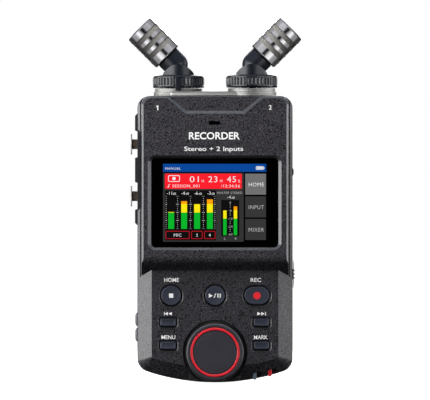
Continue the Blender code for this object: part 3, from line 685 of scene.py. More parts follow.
def make_panel_shell():
    """Raised panel round the display, with its bevelled name recess and the display's bevelled lip."""
    edges = ((33.4, 0.95, 0.0), (34.15, 0.35, 0.7), (34.25, 0.0, 1.15), (34.6, 0.0, 8.0))
    sections = [(panel_outline(half, TOP - drop, 44.0), FRONT + deep) for half, drop, deep in edges]
    panel = loft("panel_shell", sections, triangles=True)
    under = loft("under", front_form(GAP, CONTROL - GAP, 2.0), triangles=True)
    roll = slope_profile()
    start = roll[0][1]
    slope = [(FRONT - 3.0, 40.0), (FRONT - 3.0, start), (FRONT - 0.02, start), *roll[1:], (-8.0, 40.0)]
    mouth = rounded_box(DISPLAY_X - 0.1, DISPLAY_Z, 62.5, 44.3, 3.6)
    pocket = rounded_box(DISPLAY_X, DISPLAY_Z, 59.5, 41.9, 2.2)
    outer = [(-26.0, 136.0), (-13.9, 125.6), (13.9, 125.6), (26.0, 136.0)]
    inner = [(-24.4, 136.0), (-13.2, 127.0), (13.2, 127.0), (24.4, 136.0)]
    cutters = (
        under,
        prism("slope", slope, -40.0, 40.0, "X"),
        loft("pocket", [(mouth, FRONT - 0.01), (pocket, GLASS), (pocket, -15.6)]),
        prism("lcd_panel_hole", rounded_box(*LCD_HOLE), -17.0, -12.0),
        loft("recess", [(outer, FRONT - 0.01), (inner, FRONT + 0.7)]),
        prism("tally_hole", rounded_box(*TALLY, 5.8, 1.8, 0.85), -19.0, -13.0),
    )
    cut(panel, *cutters)
    dress(soften(panel, 0.16), PAINT, slot="body_paint", stands_for="display_panel")
    # Painted highlight: the chamfer, the lip and the name recess's slopes get the lighter copy of the
    # paint.
    mark_faces(panel, SHEEN_EDGE_PAINT, is_sheen_panel_edge)
    # Painted shade: the lip's downward face goes near-black.
    mark_faces(panel, SHADE_AND_JOINT_BLACK, is_shaded_lip_top)
    lens = rounded_box(*TALLY, 5.3, 1.3, 0.6)
    face = rounded_box(*TALLY, 4.9, 0.9, 0.44)
    window = loft("tally_window", [(face, -17.68), (lens, -17.5), (lens, -15.0)])
    dress(window, GLASS_BLACK, slot="display_glass", stands_for="tally_lens")


def is_sheen_panel_edge(middle, normal):
    """True for the panel's chamfer, the display's lip and the slopes of the name recess, which get the
    lighter copy of the paint as painted highlight.
    """
    _, y, z = in_body(middle)
    return FRONT + 0.02 < y < GLASS - 0.02 and 0.25 < abs(normal.y) < 0.97 and z > 61.0


def is_shaded_lip_top(middle, normal):
    """True for the part of the display's lip that faces down, which goes near-black as painted shade."""
    x, y, z = in_body(middle)
    return FRONT + 0.02 < y < GLASS - 0.02 and normal.z < -0.3 and 104.0 < z < 107.0 and abs(x) < 31.6


# ---- Rear case ----
def make_rear_shell():
    edge = case_edge()
    sections = [(edge, SPLIT + GAP), (edge, 14.0), (case_edge(-0.28), 15.4), (case_edge(-1.0), 16.8)]
    sections += [(case_edge(-1.9), 17.65), (case_edge(-3.0), BACK)]
    shell = loft("rear_shell", sections)
    inside = case_edge(-2.0)
    cutters = [
        loft("rear_cavity", [(inside, -6.0), (inside, 13.0), (case_edge(-4.0), BACK_INSIDE)]),
        prism("hatch", rounded_box(0, HATCH_Z, 60.0, 56.5, 2.3), 12.0, 20.0),
        box("side_opening", (-38, -6, 73.0), (-32.0, 15.9, 126.3)),
        *(rod(f"base_hole_{side}", SPIGOT_RADIUS, 120, 140, mic_base(side)) for side in (-1, 1)),
        rod("tripod_hole", 5.8, 10, 20, (0, 0, TRIPOD_Z), TO_BACK),
    ]
    for i in range(5):
        slot = rounded_box(0, 113.0 + 3.0 * (i - 2), 13.0, 1.3, 0.6)
        cutters.append(prism(f"speaker_slot_{i}", slot, 14.0, 20.0))
    for i, (x, z) in enumerate(SCREWS):
        profile = ((0, 20), (2.3, 20), (2.3, 16.6), (1.25, 16.6), (1.25, 10), (0, 10))
        cutters.append(turned(f"screw_hole_{i}", profile, (x, 0, z), TO_BACK, 40))
    for i, (_, z) in enumerate(VOLUME_KEYS):
        hole = rounded_box(SIDE_Y, z, 5.4, 7.0, 0.9)
        cutters.append(prism(f"volume_hole_{i}", hole, -38.0, -32.0, "X"))
    cutters += [
        rod("jack_hole", 3.2, 30, 40, (0, SIDE_Y, JACK_Z), TO_LEFT),
        prism("slider_slot", rounded_box(SLIDER_Y, SLIDER_Z, 3.6, 9.6, 0.8), 32.0, 38.0, "X"),
        box("door_recess", (34.7, 0.0, 75.1), (38, 13.0, 100.7)),
        box("barrel_recess", (33.5, 0.0, 74.0), (38, 13.0, 77.2)),
        box("socket_window", (32, 2.2, 79.8), (36, 11.6, 94.2)),
        rod("pin_hole", 0.72, -0.6, 13.6, (HINGE_X, 0, HINGE_Z), TO_BACK, 24),
    ]
    cut(shell, *cutters)
    dress(soften(shell, 0.2), PAINT, slot="body_paint", stands_for="rear_case")


def make_seam_seal():
    """Dark ring in the joint line between the two cases."""
    ring = prism("seam_seal", case_edge(-0.4), SPLIT + 0.02, SPLIT + GAP - 0.02)
    cut(ring, prism("seal_core", case_edge(-1.6), SPLIT - 1, SPLIT + 1))
    dress(ring, SHADE_AND_JOINT_BLACK)


def make_screw(i, x, z):
    profile = [(0, 17.75), (1.2, 17.75), (1.65, 17.68), (1.9, 17.45), (1.9, 16.9)]
    profile += [(0.95, 16.9), (0.95, 0), (0, 0)]
    screw = turned(f"screw_{i}", profile, (x, 0, z), TO_BACK, 40)
    arms = ((1.15, 0.24), (0.24, 1.15))
    cut(screw, *(box(f"cross_{i}_{a}", (x - a, 17.0, z - b), (x + a, 19.0, z + b)) for a, b in arms))
    dress(screw, STEEL, slot="steel", stands_for=f"case_screw_{i}")


# ---- Display ----
class Picture:
    """Thin printed or lit shapes gathered into one object, each layer a little in front of the last."""

    def __init__(self, name, face):
        self.bm = bmesh.new()
        self.name = name
        self.face = face
        self.materials = []

    def index(self, material):
        if material not in self.materials:
            self.materials.append(material)
        return self.materials.index(material)

    def solid(self, outline, material, layer=1):
        """A thin plate of that outline in X and Z, on the face or in front of lower layers."""
        front, back = self.face - LAYER * layer, self.face + UNDERLAP
        rings = [[self.bm.verts.new(at(u, y, v)) for u, v in outline] for y in (front, back)]
        faces = [self.bm.faces.new(rings[0]), self.bm.faces.new(list(reversed(rings[1])))]
        for i in range(len(outline)):
            corners = rings[0][i - 1], rings[0][i], rings[1][i], rings[1][i - 1]
            faces.append(self.bm.faces.new(corners))
        for face in faces:
            face.material_index = self.index(material)

    def rect(self, left, right, low, high, material, layer=1, radius=0.0):
        outline = [(left, high), (left, low), (right, low), (right, high)]
        if radius:
            outline = rounded([(u, v, radius) for u, v in outline], 5)
        self.solid(outline, material, layer)

    def disc(self, x, z, radius, material, layer=1):
        turns = [tau * i / 32 for i in range(32)]
        self.solid([(x + radius * cos(a), z + radius * sin(a)) for a in turns], material, layer)

    def frame(self, left, right, low, high, line, material, inside, layer=1, radius=0.5):
        """An outlined box: the outer shape, and the inner colour one layer in front."""
        self.rect(left, right, low, high, material, layer, radius)
        inner = left + line, right - line, low + line, high - line
        self.rect(*inner, inside, layer + 1, radius - line * 0.7)

    def text(
        self, words, x, z, height, material, layer=2,
        width=None, bold=0.0, align="CENTER", spread=1.0,
    ):
        """Lettering scaled to that cap height, and to a width if one is given."""
        curve = bpy.data.curves.new(words, "FONT")
        curve.body = words
        curve.size = 1.0
        curve.extrude = 0.001
        curve.offset = bold
        curve.space_character = spread
        curve.resolution_u = 3
        letters = place_in_scene(bpy.data.objects.new(words, curve))
        bpy.context.view_layer.update()
        graph = bpy.context.evaluated_depsgraph_get()
        mesh = bpy.data.meshes.new_from_object(letters.evaluated_get(graph))
        bpy.data.objects.remove(letters)
        xs = [v.co.x for v in mesh.vertices]
        scale = height / CAP_HEIGHT
        stretch = width / (max(xs) - min(xs)) if width else scale
        anchor = {"CENTER": (min(xs) + max(xs)) / 2, "LEFT": min(xs), "RIGHT": max(xs)}[align]
        front, back = self.face - LAYER * layer, self.face + UNDERLAP
        for v in mesh.vertices:
            deep = front if v.co.z > 0 else back
            v.co = at(x + (v.co.x - anchor) * stretch, deep, z + (v.co.y - CAP_HEIGHT / 2) * scale)
        before = len(self.bm.faces)
        self.bm.from_mesh(mesh)
        self.bm.faces.ensure_lookup_table()
        for face in self.bm.faces[before:]:
            face.material_index = self.index(material)
        bpy.data.meshes.remove(mesh)

    def finish(self, body="root"):
        bmesh.ops.remove_doubles(self.bm, verts=self.bm.verts, dist=1e-7)
        mesh = bpy.data.meshes.new(self.name)
        bmesh.ops.recalc_face_normals(self.bm, faces=self.bm.faces)
        self.bm.to_mesh(mesh)
        self.bm.free()
        for material in self.materials:
            mesh.materials.append(material)
        obj = place_in_scene(bpy.data.objects.new(self.name, mesh))
        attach(obj, body)
        return obj


def make_glass_plate():
    width, height = 59.0, 41.4
    face = rounded_box(DISPLAY_X, DISPLAY_Z, width - 0.4, height - 0.4, 1.7)
    full = rounded_box(DISPLAY_X, DISPLAY_Z, width, height, 1.9)
    plate = loft("cover_glass", [(face, GLASS), (full, GLASS + 0.2), (full, GLASS + 1.1)])
    dress(plate, GLASS_BLACK, slot="display_glass", stands_for="display_glass")


def make_screen():
    """The recording page. Places are counted from the lit area's top left corner, down and to the right."""
    left, top, width, height = -24.3, 102.2, 48.2, 36.4
    picture = Picture("screen_picture", GLASS)
    tones = {
        "blue": (0.0, 0.062, 0.33), "red": (1.0, 0.012, 0.024), "deep_red": (0.50, 0.006, 0.014),
        "slate": grey(0.031), "button": grey(0.036), "chosen": grey(0.165), "black": grey(0.0015),
        "white": (0.90, 0.92, 0.94), "soft": grey(0.50), "green": (0.0, 0.47, 0.022),
        "yellow": (1.0, 0.83, 0.004), "orange": (1.0, 0.36, 0.0),
    }
    lit = {name: make_glow("lit_" + name, colour) for name, colour in tones.items()}

    def rect(x0, x1, y0, y1, tone, layer=1, radius=0.0):
        picture.rect(left + x0, left + x1, top - y1, top - y0, lit[tone], layer, radius)

    def outlined(x0, x1, y0, y1, line, tone, inside, layer, radius):
        picture.frame(left + x0, left + x1, top - y1, top - y0, line, lit[tone], lit[inside], layer, radius)

    def disc(x, y, radius, layer):
        picture.disc(left + x, top - y, radius, lit["white"], layer)

    def write(words, x, y, tall, tone="white", **settings):
        settings = {"layer": 4, "bold": -0.006, "spread": 1.12, **settings}
        picture.text(words, left + x, top - y, tall, lit[tone], **settings)

    rect(0, width, 0, 3.75, "blue")
    write("MANUAL", 1.1, 2.15, 1.15, align="LEFT", width=7.2)
    outlined(43.4, 47.0, 1.15, 2.75, 0.28, "white", "blue", 2, 0.4)
    rect(43.9, 46.5, 1.6, 2.3, "white", 4)
    rect(47.0, 47.4, 1.6, 2.3, "white", 2)
    rect(0, 37.7, 4.25, height, "slate")
    rect(0.85, 36.85, 4.6, 11.7, "red", 2, 0.7)
    outlined(2.4, 7.9, 5.35, 8.4, 0.3, "white", "red", 3, 0.7)
    disc(5.15, 6.87, 0.78, 6)
    times = (("01", 14.6, "H", 18.6), ("23", 23.3, "M", 27.2), ("45", 32.0, "S", 35.6))
    for digits, x, unit, unit_x in times:
        write(digits, x, 7.1, 2.95, width=4.2)
        write(unit, unit_x, 8.0, 1.25, width=1.0)
    disc(2.45, 10.75, 0.3, 3)
    rect(2.62, 2.8, 9.6, 10.75, "white", 3)
    rect(2.8, 3.35, 9.6, 9.8, "white", 3)
    write("SESSION_001", 4.4, 10.3, 1.4, align="LEFT", width=12.6)
    write("/12:34:56", 35.9, 10.3, 1.4, align="RIGHT", width=8.8)
    rect(1.0, 24.8, 12.4, 35.75, "black", 2)
    make_meters(rect, write)
    for x0, x1, words in ((1.2, 12.45, "MIC"), (13.2, 18.5, "3"), (19.2, 24.5, "4")):
        outlined(x0, x1, 31.35, 35.1, 0.3, "deep_red", "black", 3, 0.6)
        write(words, (x0 + x1) / 2, 33.25, 1.5, layer=6)
    make_master(rect, write)
    for y0, words, tone in ((4.6, "HOME", "chosen"), (15.2, "INPUT", "button"), (25.75, "MIXER", "button")):
        rect(38.4, 48.1, y0, y0 + 9.8, tone)
        write(words, 43.6, y0 + 5.0, 1.9, "soft" if tone == "button" else "white", width=7.1)
    picture.finish()


def make_meters(rect, write):
    """Four channel meters between dotted scales."""
    floor, warm, hot = 30.4, 22.75, 18.7
    channels = ((2.45, 22.5, "-11"), (8.5, 17.45, "-4"), (14.55, 18.85, "-6"), (20.55, 16.6, "-3"))
    for x, level, words in channels:
        rect(x, x + 2.75, max(level, warm), floor, "green", 3)
        if level < warm:
            rect(x, x + 2.75, max(level, hot), warm, "yellow", 3)
        if level < hot - 0.1:
            rect(x, x + 2.75, level, hot, "orange", 3)
        write(words, x + 1.75, 13.65, 1.6, align="RIGHT", spread=1.0)
        write("dB", x + 2.1, 13.9, 1.05, align="LEFT", width=1.5)
    for x in (1.5, 6.8, 12.85, 18.9, 24.2):
        for i in range(17):
            y, half, tall = 15.05 + 0.942 * i, 0.13, 0.3
            if i % 4 == 0:
                half, tall = (0.62 if 6.0 < x < 20.0 else 0.4), 0.24
            rect(x - half, x + half, y, y + tall, "soft" if i % 8 or i == 8 else "chosen", 3)


def make_master(rect, write):
    """Stereo master meter with its scale."""
    write("MASTER STEREO", 31.2, 13.5, 1.1, "soft", width=11.6)
    write("-4", 31.7, 15.5, 1.5, align="RIGHT")
    write("dB", 32.0, 15.75, 1.0, align="LEFT", width=1.5)
    rect(27.2, 35.6, 16.9, 33.7, "black", 2)
    rect(28.15, 29.7, 25.6, 33.3, "green", 3)
    rect(28.15, 29.7, 21.8, 25.6, "yellow", 3)
    for high, low, tone in ((25.6, 33.3, "green"), (21.6, 25.6, "yellow"), (19.9, 21.6, "orange")):
        rect(33.05, 34.65, high, low, tone, 3)
    for words, y in (("0", 18.15), ("-6", 21.7), ("-12", 25.6), ("-24", 29.3), ("-60", 32.9)):
        write(words, 31.4, y, 1.1, "soft")
    for y in (19.2, 20.1, 22.9, 23.8, 26.8, 27.7, 30.5, 31.4):
        rect(31.28, 31.54, y, y + 0.3, "soft", 3)
    write("L", 28.9, 34.9, 1.1, "soft")
    write("R", 34.0, 34.9, 1.1, "soft")


# ---- Markings ----
def arrow(picture, x, z, size, direction, material):
    """Triangle that points along X, its base at x."""
    points = [(x, z - size / 2), (x, z + size / 2), (x + direction * size * 0.95, z)]
    picture.solid(points if direction < 0 else points[::-1], material, 2)


def make_markings():
    high = Picture("panel_markings", FRONT)
    one = [(-26.45, 129.5), (-26.95, 129.5), (-27.5, 129.1), (-27.5, 128.6)]
    one += [(-26.98, 128.85), (-26.98, 127.25), (-26.45, 127.25)]
    high.solid(one, WHITE_PRINT, 2)
    high.text("2", 25.8, 128.6, 2.2, WHITE_PRINT, 2, bold=0.012)
    high.text("RECORDER", -0.3, 115.4, 3.4, WHITE_PRINT, 2, 23.8, 0.022)
    high.text("Stereo + 2 Inputs", -0.6, 109.3, 2.1, WHITE_PRINT, 2, 27.5, 0.010)
    high.finish()
    low = Picture("key_markings", CONTROL)
    for words, x, z, width in (
        ("HOME", -20.3, 48.0, 6.9), ("REC", 19.1, 48.0, 4.9),
        ("MENU", -21.8, 21.2, 6.5), ("MARK", 21.4, 21.2, 6.4),
    ):
        low.text(words, x, z, 1.9, WHITE_PRINT, 2, width, 0.012)
    for x, direction in ((-21.8, -1), (21.4, 1)):
        z, tall = 32.15, 1.7
        bar = x + direction * 2.05
        low.rect(min(bar, bar + 0.35), max(bar, bar + 0.35), z - tall / 2, z + tall / 2, WHITE_PRINT)
        arrow(low, x + direction * 0.2, z, tall, direction, WHITE_PRINT)
        arrow(low, x - direction * 1.65, z, tall, direction, WHITE_PRINT)
    low.finish()


# ---- Front controls ----
def make_cap(name, x, z, width, height, radius):
    """Key cap: dished face, rounded edge, straight sides and the flange that keeps it in."""
    front, step = KEY_FACE, CAVITY + GAP
    half = min(width, height) / 2

    def ring(inset):
        return rounded_box(x, z, width - 2 * inset, height - 2 * inset, max(0.08, radius - inset), 12)

    sections = []
    for share in (0.96, 0.8, 0.62, 0.45, 0.3, 0.2, 0.13):
        sections.append((ring(half * share), front + DISH * (1 - (1 - share) ** 2)))
    for inset, drop in ((0.30, 0.0), (0.16, 0.03), (0.07, 0.1), (0.0, 0.32)):
        sections.append((ring(inset), front + drop))
    flange = rounded_box(x, z, width + 1.6, height + 1.6, radius + 0.8, 12)
    sections += [(ring(0.0), step), (flange, step), (flange, step + 0.8)]
    cap = loft(name + "_cap", sections, angle=35)
    node_name = name + "_button"
    dress(cap, KEY, node_name, "key_plastic", node_name)


def make_symbols():
    face = KEY_FACE + DISH - 0.02
    stop = Picture("stop_symbol", face)
    stop.rect(-21.5, -19.5, 39.6, 41.6, WHITE_PRINT, 4)
    stop.finish("stop_button")
    play = Picture("play_symbol", face - 0.1)
    arrow(play, -2.9, 40.6, 2.0, 1, WHITE_PRINT)
    play.solid([(0.15, 41.6), (-0.65, 39.6), (-0.25, 39.6), (0.55, 41.6)], WHITE_PRINT, 2)
    for x in (1.1, 2.15):
        play.rect(x, x + 0.55, 39.65, 41.55, WHITE_PRINT, 2)
    play.finish("play_button")
    record = Picture("record_symbol", face)
    record.disc(19.6, 40.6, 1.72, RED_PRINT, 4)
    record.finish("record_button")


def make_dial():
    """Dished disc with a fluted rim, and the red ring in its face."""
    # face and rim: radius, drop below the front
    front, edge, flute = 19.4, DIAL_RADIUS, 0.28
    face = ((0, 0.12), (5.0, 0.09), (9.5, 0.02), (9.95, 0.05), (10.1, 0.35), (10.1, 0.6), (11.65, 0.6))
    rim = ((11.65, 0.35), (11.8, 0.06), (12.05, 0), (12.75, 0.02))
    rim += ((12.95, 0.08), (13.15, 0.26), (13.28, 0.5))
    profile = [(radius, front - drop) for radius, drop in (*face, *rim, (edge, 0.8))]
    profile += [(edge, front - 1.3, 0.0), (edge, front - 1.55, flute), (edge, 14.2, flute)]
    profile += [(edge, 13.9, 0.0), (edge - 0.25, 13.5), (3.0, 13.5), (3.0, 9.6), (0, 9.6)]
    disc = on_dial("dial_disc", profile, steps=720, flutes=90, share=0.7)
    dress(disc, DIAL_BLACK, "dial", "black_plastic", "dial")

    def is_highlit_rim(middle, normal):
        return front - 1.0 < middle.z / MM and hypot(middle.x, middle.y) / MM > 13.05

    # Painted highlight: the outer rim gets the lighter plastic.
    mark_faces(disc, RIM_HIGHLIGHT, is_highlit_rim)
    bead = ((11.5, -0.3), (11.5, -0.02), (11.38, 0.08), (10.94, 0.11), (10.5, 0.08))
    bead += ((10.36, -0.02), (10.36, -0.3))
    profile = [(radius, front + rise) for radius, rise in bead]
    ring = on_dial("dial_light_ring", profile, closed=True, steps=160)
    dress(ring, RED_RING, "dial", "red_plastic", "dial_ring")


# ---- Microphones ----
def make_microphone(side):
    """Silver base on the case, and the body that swivels on it. Side is -1 for the left or 1."""
    tag = "left" if side < 0 else "right"
    body = f"mic_{tag}"
    profile = [(4.2, 137.6), (10.9, 137.6), (11.15, 137.5), (11.2, 137.3), (11.2, 136.95), (11.05, 136.9)]
    profile += [(11.05, 136.75), (11.2, 136.7), (11.2, 136.0), (11.45, 136.0), (11.65, 135.9)]
    profile += [(11.7, 135.7), (11.7, 135.1), (11.55, 135.05), (11.55, 134.9), (11.7, 134.85)]
    profile += [(11.7, 134.2), (6.0, 134.2), (6.0, 129.5), (4.2, 129.5)]
    disc = turned(f"swivel_base_{tag}", profile, mic_base(side), steps=160, closed=True)
    dress(disc, SILVER, slot="silver_trim", stands_for=f"mic_base_{tag}")
    make_grip(tag, body, side)
    make_arm(tag, body, side)
    make_capsule(tag, body, side)


def make_grip(tag, body, side):
    """Knurled ring with rounded flutes, and the index tab that reaches down over the silver base."""
    x, y, _ = mic_base(side)
    rim, deep = 12.15, 0.42
    flute = [(142.75, 0.0), (142.5, 0.62), (142.2, 0.9), (141.9, 1.0)]
    flute += [(139.9, 1.0), (139.6, 0.9), (139.3, 0.62), (139.05, 0.0)]
    profile = [(4.3, 143.9), (11.0, 143.9), (11.45, 143.8), (11.95, 143.5), (rim, 143.1)]
    profile += [(rim, height, deep * share) for height, share in flute]
    profile += [(rim, 138.65), (12.0, 138.3), (11.7, 137.9), (4.3, 137.9)]
    fluting = {"steps": 552, "flutes": 46, "share": 0.62, "closed": True}
    ring = turned(f"grip_ring_{tag}", profile, mic_base(side), **fluting)
    dress(ring, RING_BLACK, body, "black_plastic", f"mic_ring_{tag}")
    near, far = sorted((y + side * 11.4, y + side * 12.5))
    tab = prism(f"index_tab_{tag}", upright(x, 1.25, 143.3, 136.6, 0.35, 0.3, 5), near, far)
    dress(soften(tab, 0.5, 1), RING_BLACK, body, "black_plastic")


def make_arm(tag, body, side):
    """Rounded yoke on the ring, and the tilted neck with its ball."""
    x, y, _ = mic_base(side)
    foot, rise, half = 144.2, 4.8, 7.4
    shares = [k / 24 for k in range(-24, 25)]
    arch = [(x + half * share, foot + rise * cos(share * pi / 2) ** 0.74) for share in shares]
    arch += [(x + half, 143.7), (x - half, 143.7)]
    arm = prism(f"swivel_arm_{tag}", arch, y - 9.5, y + 9.5)
    combine(arm, "INTERSECT", [rod("yoke_form", 9.4, 143.95, 152, mic_base(side), steps=128)])
    centre, radius, end = 2.0, 6.0, CAPSULE_START - 0.01
    profile = [(0, end), (radius - 0.3, end), (radius, end - 0.3)]
    turns = [pi / 2 * k / 20 for k in range(20)]
    profile += [(radius * cos(turn), centre - radius * sin(turn)) for turn in turns]
    neck = on_tilt("neck_form", [*profile, (0, centre - radius)], side, 96)
    cut(neck, box("neck_floor", (x - 20, y - 20, 130), (x + 20, y + 20, 144.1)))
    fuse(arm, neck)
    arm.data.set_sharp_from_angle(angle=radians(28))
    nodes = (f"mic_arm_{tag}", f"mic_shaft_{tag}")
    dress(soften(arm, 0.3, 3, 28), ARM_BLACK, body, "black_plastic", nodes)


def make_capsule(tag, body, side):
    """Chrome cage with three open bands and side posts, over a sleeve of woven wire."""
    start, end, r = CAPSULE_START, CAPSULE_END, CAPSULE_RADIUS
    inner = r - 0.42
    tip = ((0.85, 0.12), (0.62, 0), (0.32, 0.12), (0.1, 0.42), (0, 0.85))
    foot = ((0, 0.9), (0.1, 0.55), (0.45, 0.15), (0.85, 0))
    profile = [(0, start + 1.2), (inner, start + 1.2), (inner, end - 0.95), (inner - 0.35, end - 0.45)]
    profile += [(r - inset, end - drop) for inset, drop in tip]
    profile += [(r - inset, start + rise) for inset, rise in foot] + [(0, start)]
    cage = on_tilt(f"capsule_cage_{tag}", profile, side, 144)
    where, rotation, _ = cage.matrix_world.decompose()
    turn = Matrix.Translation(where) @ rotation.to_matrix().to_4x4() @ Matrix.Rotation(pi / 2, 4, "Z")
    windows = []
    for i, (low, high) in enumerate(WINDOWS):
        outline = rounded_box(0.0, (low + high) / 2, 14.2, high - low, 0.35, 5)
        window = prism(f"window_{i}", outline, -12.0, 12.0)
        window.matrix_world = turn @ Matrix.Translation(-BODY_ORIGIN)
        windows.append(window)
    cut(cage, *windows)
    cage.data.set_sharp_from_angle(angle=radians(24))
    dress(soften(cage, 0.12, 2, 40), CHROME, body, "chrome", f"mic_cage_{tag}")
    # Painted shade: the cage's ends get the darker chrome, which draws a dark outline.
    band_start, band_end = (start + 0.4) * MM, (end - 0.4) * MM
    mark_faces(cage, SHADED_END_CHROME, lambda middle, normal: not band_start < middle.z < band_end)
    cap = ((0, 0.55), (3.0, 0.58), (5.9, 0.75), (6.5, 1.0), (7.0, 1.4), (7.08, 1.7))
    profile = [(radius, end - drop) for radius, drop in cap]
    profile += [(7.08, start + 1.5), (6.3, start + 1.5), (6.3, end - 1.5), (0, end - 1.2)]
    sleeve = on_tilt(f"wire_sleeve_{tag}", profile, side, 96)
    dress(sleeve, WIRE, body, "mesh_metal", (f"mic_mesh_{tag}", f"mic_element_{tag}"))
    make_post_screws(tag, body, cage.matrix_world.copy())


def make_post_screws(tag, body, where):
    """Small screws in the posts on both sides of the cage."""
    bm = bmesh.new()
    for height in (10.2, 14.65, 18.75, 23.4):
        for way in (-1, 1):
            turn = Matrix.Translation(Vector((0, way * (CAPSULE_RADIUS - 0.12) * MM, height * MM)))
            add_pin(bm, 0.62, 0.5, 0.42, turn @ Matrix.Rotation(-way * pi / 2, 4, "X"))
    obj = add(f"post_screws_{tag}", bm, 30)
    obj.matrix_world = where
    dress(obj, DARK_STEEL, body)


def make_top_plate():
    """Satin plate between the microphone bases, with a rounded upper edge."""
    sections = []
    edge = ((0, TOP + GAP), (0, 135.2), (0.12, 135.55), (0.45, 135.85), (0.95, 136.03), (1.5, 136.1))
    for inset, z in edge:
        x, y = 20.8 - inset, 15.0 - inset * 0.6
        sections.append((rounded([(-x, -y, 0.6), (x, -y, 0.6), (x, y, 0.6), (-x, y, 0.6)], 4), z))
    plate = loft("bridge_plate", sections, "Z", angle=28)
    seats = [rod(f"seat_{side}", 11.95, 130, 140, mic_base(side), steps=128) for side in (-1, 1)]
    cut(plate, *seats)
    plate.data.set_sharp_from_angle(angle=radians(28))
    dress(plate, PLATE, slot="silver_trim", stands_for="top_plate")


# ---- XLR side ----
def make_xlr_side():
    points = [(-34.4, GUARDS[0][0])]
    for (low, high), (below, above) in zip(GUARDS, ((1.3, 0.4), (0.4, 0.4), (0.4, 1.3))):
        points += [(-36.3, low), (-37.5, low + below), (-37.5, high - above), (-36.3, high)]
    points.append((-34.4, GUARDS[-1][1]))
    module = prism("input_module", points, SPLIT + 0.6, 15.4)
    fuse(module, prism("tongue", xlr_notch(), CAVITY, -3.0))
    cutters = []
    for i, z in enumerate(XLR_HEIGHTS):
        profile = [(0, 40), (10.0, 40), (10.0, 36.35), (9.6, 35.9), (9.6, 30), (0, 30)]
        cutters.append(turned(f"mouth_{i}", profile, (0, XLR_Y, z), TO_LEFT, 96))
        low, high = (-40, LATCH_Y - 1.3, z - 2.6), (-30, LATCH_Y + 1.3, z + 2.6)
        cutters.append(box(f"latch_slot_{i}", low, high))
    cut(module, *cutters)
    dress(soften(module, 0.25), BLACK, slot="black_plastic", stands_for="xlr_housing")
    for i, z in enumerate(XLR_HEIGHTS, 1):
        make_socket(i, z)
        make_latch(i, z)


def make_socket(i, z):
    """Female input: a thin shell, the key and an insert with three contacts."""
    mouth = 9.75
    profile = [(0, 33.2), (7.5, 33.2), (7.8, 33.0), (7.8, 15.0), (mouth, 15.0), (mouth, 33.9), (9.85, 34.1)]
    profile += [(10.5, 34.1), (10.6, 34.0), (10.6, 13.0), (0, 13.0)]
    socket = turned(f"input_socket_{i}", profile, (0, XLR_Y, z), TO_LEFT, 96)
    turns = [radians(150 + 120 * k) for k in range(3)]
    contacts = [(XLR_Y + 3.6 * cos(turn), z + 3.6 * sin(turn)) for turn in turns]
    holes = [rod(f"contact_{i}_{y}", 1.35, 24.0, 35.0, (0, y, up), TO_LEFT, 32) for y, up in contacts]
    key = box(f"key_{i}", (-35.0, XLR_Y - 1.1, z + 6.6), (-22.0, XLR_Y + 1.1, z + 8.4))
    cut(socket, *holes, key)
    dress(soften(socket, 0.12, 2, 40), BLACK, slot="black_plastic", stands_for=f"xlr_socket_{i}")
    bm = bmesh.new()
    for y, up in contacts:
        add_pin(bm, 1.15, 1.15, 4.0, Matrix.Translation(at(-29.6, y, up)) @ Matrix.Rotation(pi / 2, 4, "Y"))
    dress(add(f"contact_sleeves_{i}", bm, 30), BRASS)


def make_latch(i, z):
    """Release lever: a pressed steel plate on a darker stem."""
    body, middle = f"xlr_latch_{i}", LATCH_Y - 0.05
    outline = rounded_box(middle, z, 4.9, 9.5, 0.7, 6)
    ridge = rounded_box(middle, z, 4.3, 8.9, 0.5, 6)
    plate = loft(f"latch_plate_{i}", [(ridge, -39.6), (outline, -39.35), (outline, -38.8)], "X")
    dress(soften(plate, 0.12), LATCH_STEEL, body, "steel", body)
    for name, x, half, tall, edge, material in (
        ("stem", (-39.0, -31.0), 1.0, 2.3, 0.2, DARK_STEEL),
        ("collar", (-38.3, -37.8), 1.08, 2.38, 0.06, STEEL),
    ):
        low, high = (x[0], LATCH_Y - half, z - tall), (x[1], LATCH_Y + half, z + tall)
        dress(soften(box(f"latch_{name}_{i}", low, high), edge), material, body, "steel")


# ---- Sides ----
def make_side_controls():
    """Volume keys, phones jack and slider on the left and right, and the two switches at the bottom."""
    cap = ((1.1, -37.4), (0.85, -37.38), (0.55, -37.25), (0.2, -36.95), (0, -36.6), (0, -34.0))
    for name, z in VOLUME_KEYS:
        sections = []
        for inset, x in cap:
            sections.append((rounded_box(SIDE_Y, z, 4.8 - 1.45 * inset, 6.4 - 3.2 * inset, 0.7, 6), x))
        flange = rounded_box(SIDE_Y, z, 6.2, 7.0, 0.6, 6)
        sections += [(flange, -34.0), (flange, -33.2)]
        dress(loft(name[:-4] + "_cap", sections, "X", angle=35), KEY, name, "key_plastic", name)
        mark = box(name + "_mark", (-37.42, 4.45, z - 0.1), (-37.3, 5.55, z + 0.1))
        if name == "volume_up_key":
            fuse(mark, box("plus_bar", (-37.425, 4.9, z - 0.55), (-37.305, 5.1, z + 0.55)))
        dress(mark, WHITE_PRINT, name)
    jack_place = (0, SIDE_Y, JACK_Z)
    profile = [(0, 32.6), (1.8, 32.6), (1.8, 36.0), (2.0, 36.3), (2.8, 36.3)]
    profile += [(3.0, 36.15), (3.0, 31.4), (0, 31.4)]
    jack = turned("phones_socket", profile, jack_place, TO_LEFT, 64)
    dress(jack, BLACK, slot="black_plastic", stands_for="phones_jack")
    profile = [(1.75, 35.2), (1.75, 33.0), (1.4, 33.0), (1.4, 35.2)]
    dress(turned("phones_contact", profile, jack_place, TO_LEFT, 48, closed=True), STEEL)
    make_slider()
    for name, x in SWITCHES:
        edge = bottom_edge(x)
        outline = upright(x, 0.85, edge + 4.6, edge - 0.45, 0.2, 0.6, 6)
        knob = soften(prism(name + "_knob", outline, -12.45, -10.4), 0.15)
        material, slot = (RED, "red_plastic") if name == "pad_switch" else (BLUE_GREY, "blue_grey_plastic")
        dress(knob, material, name, slot, name)


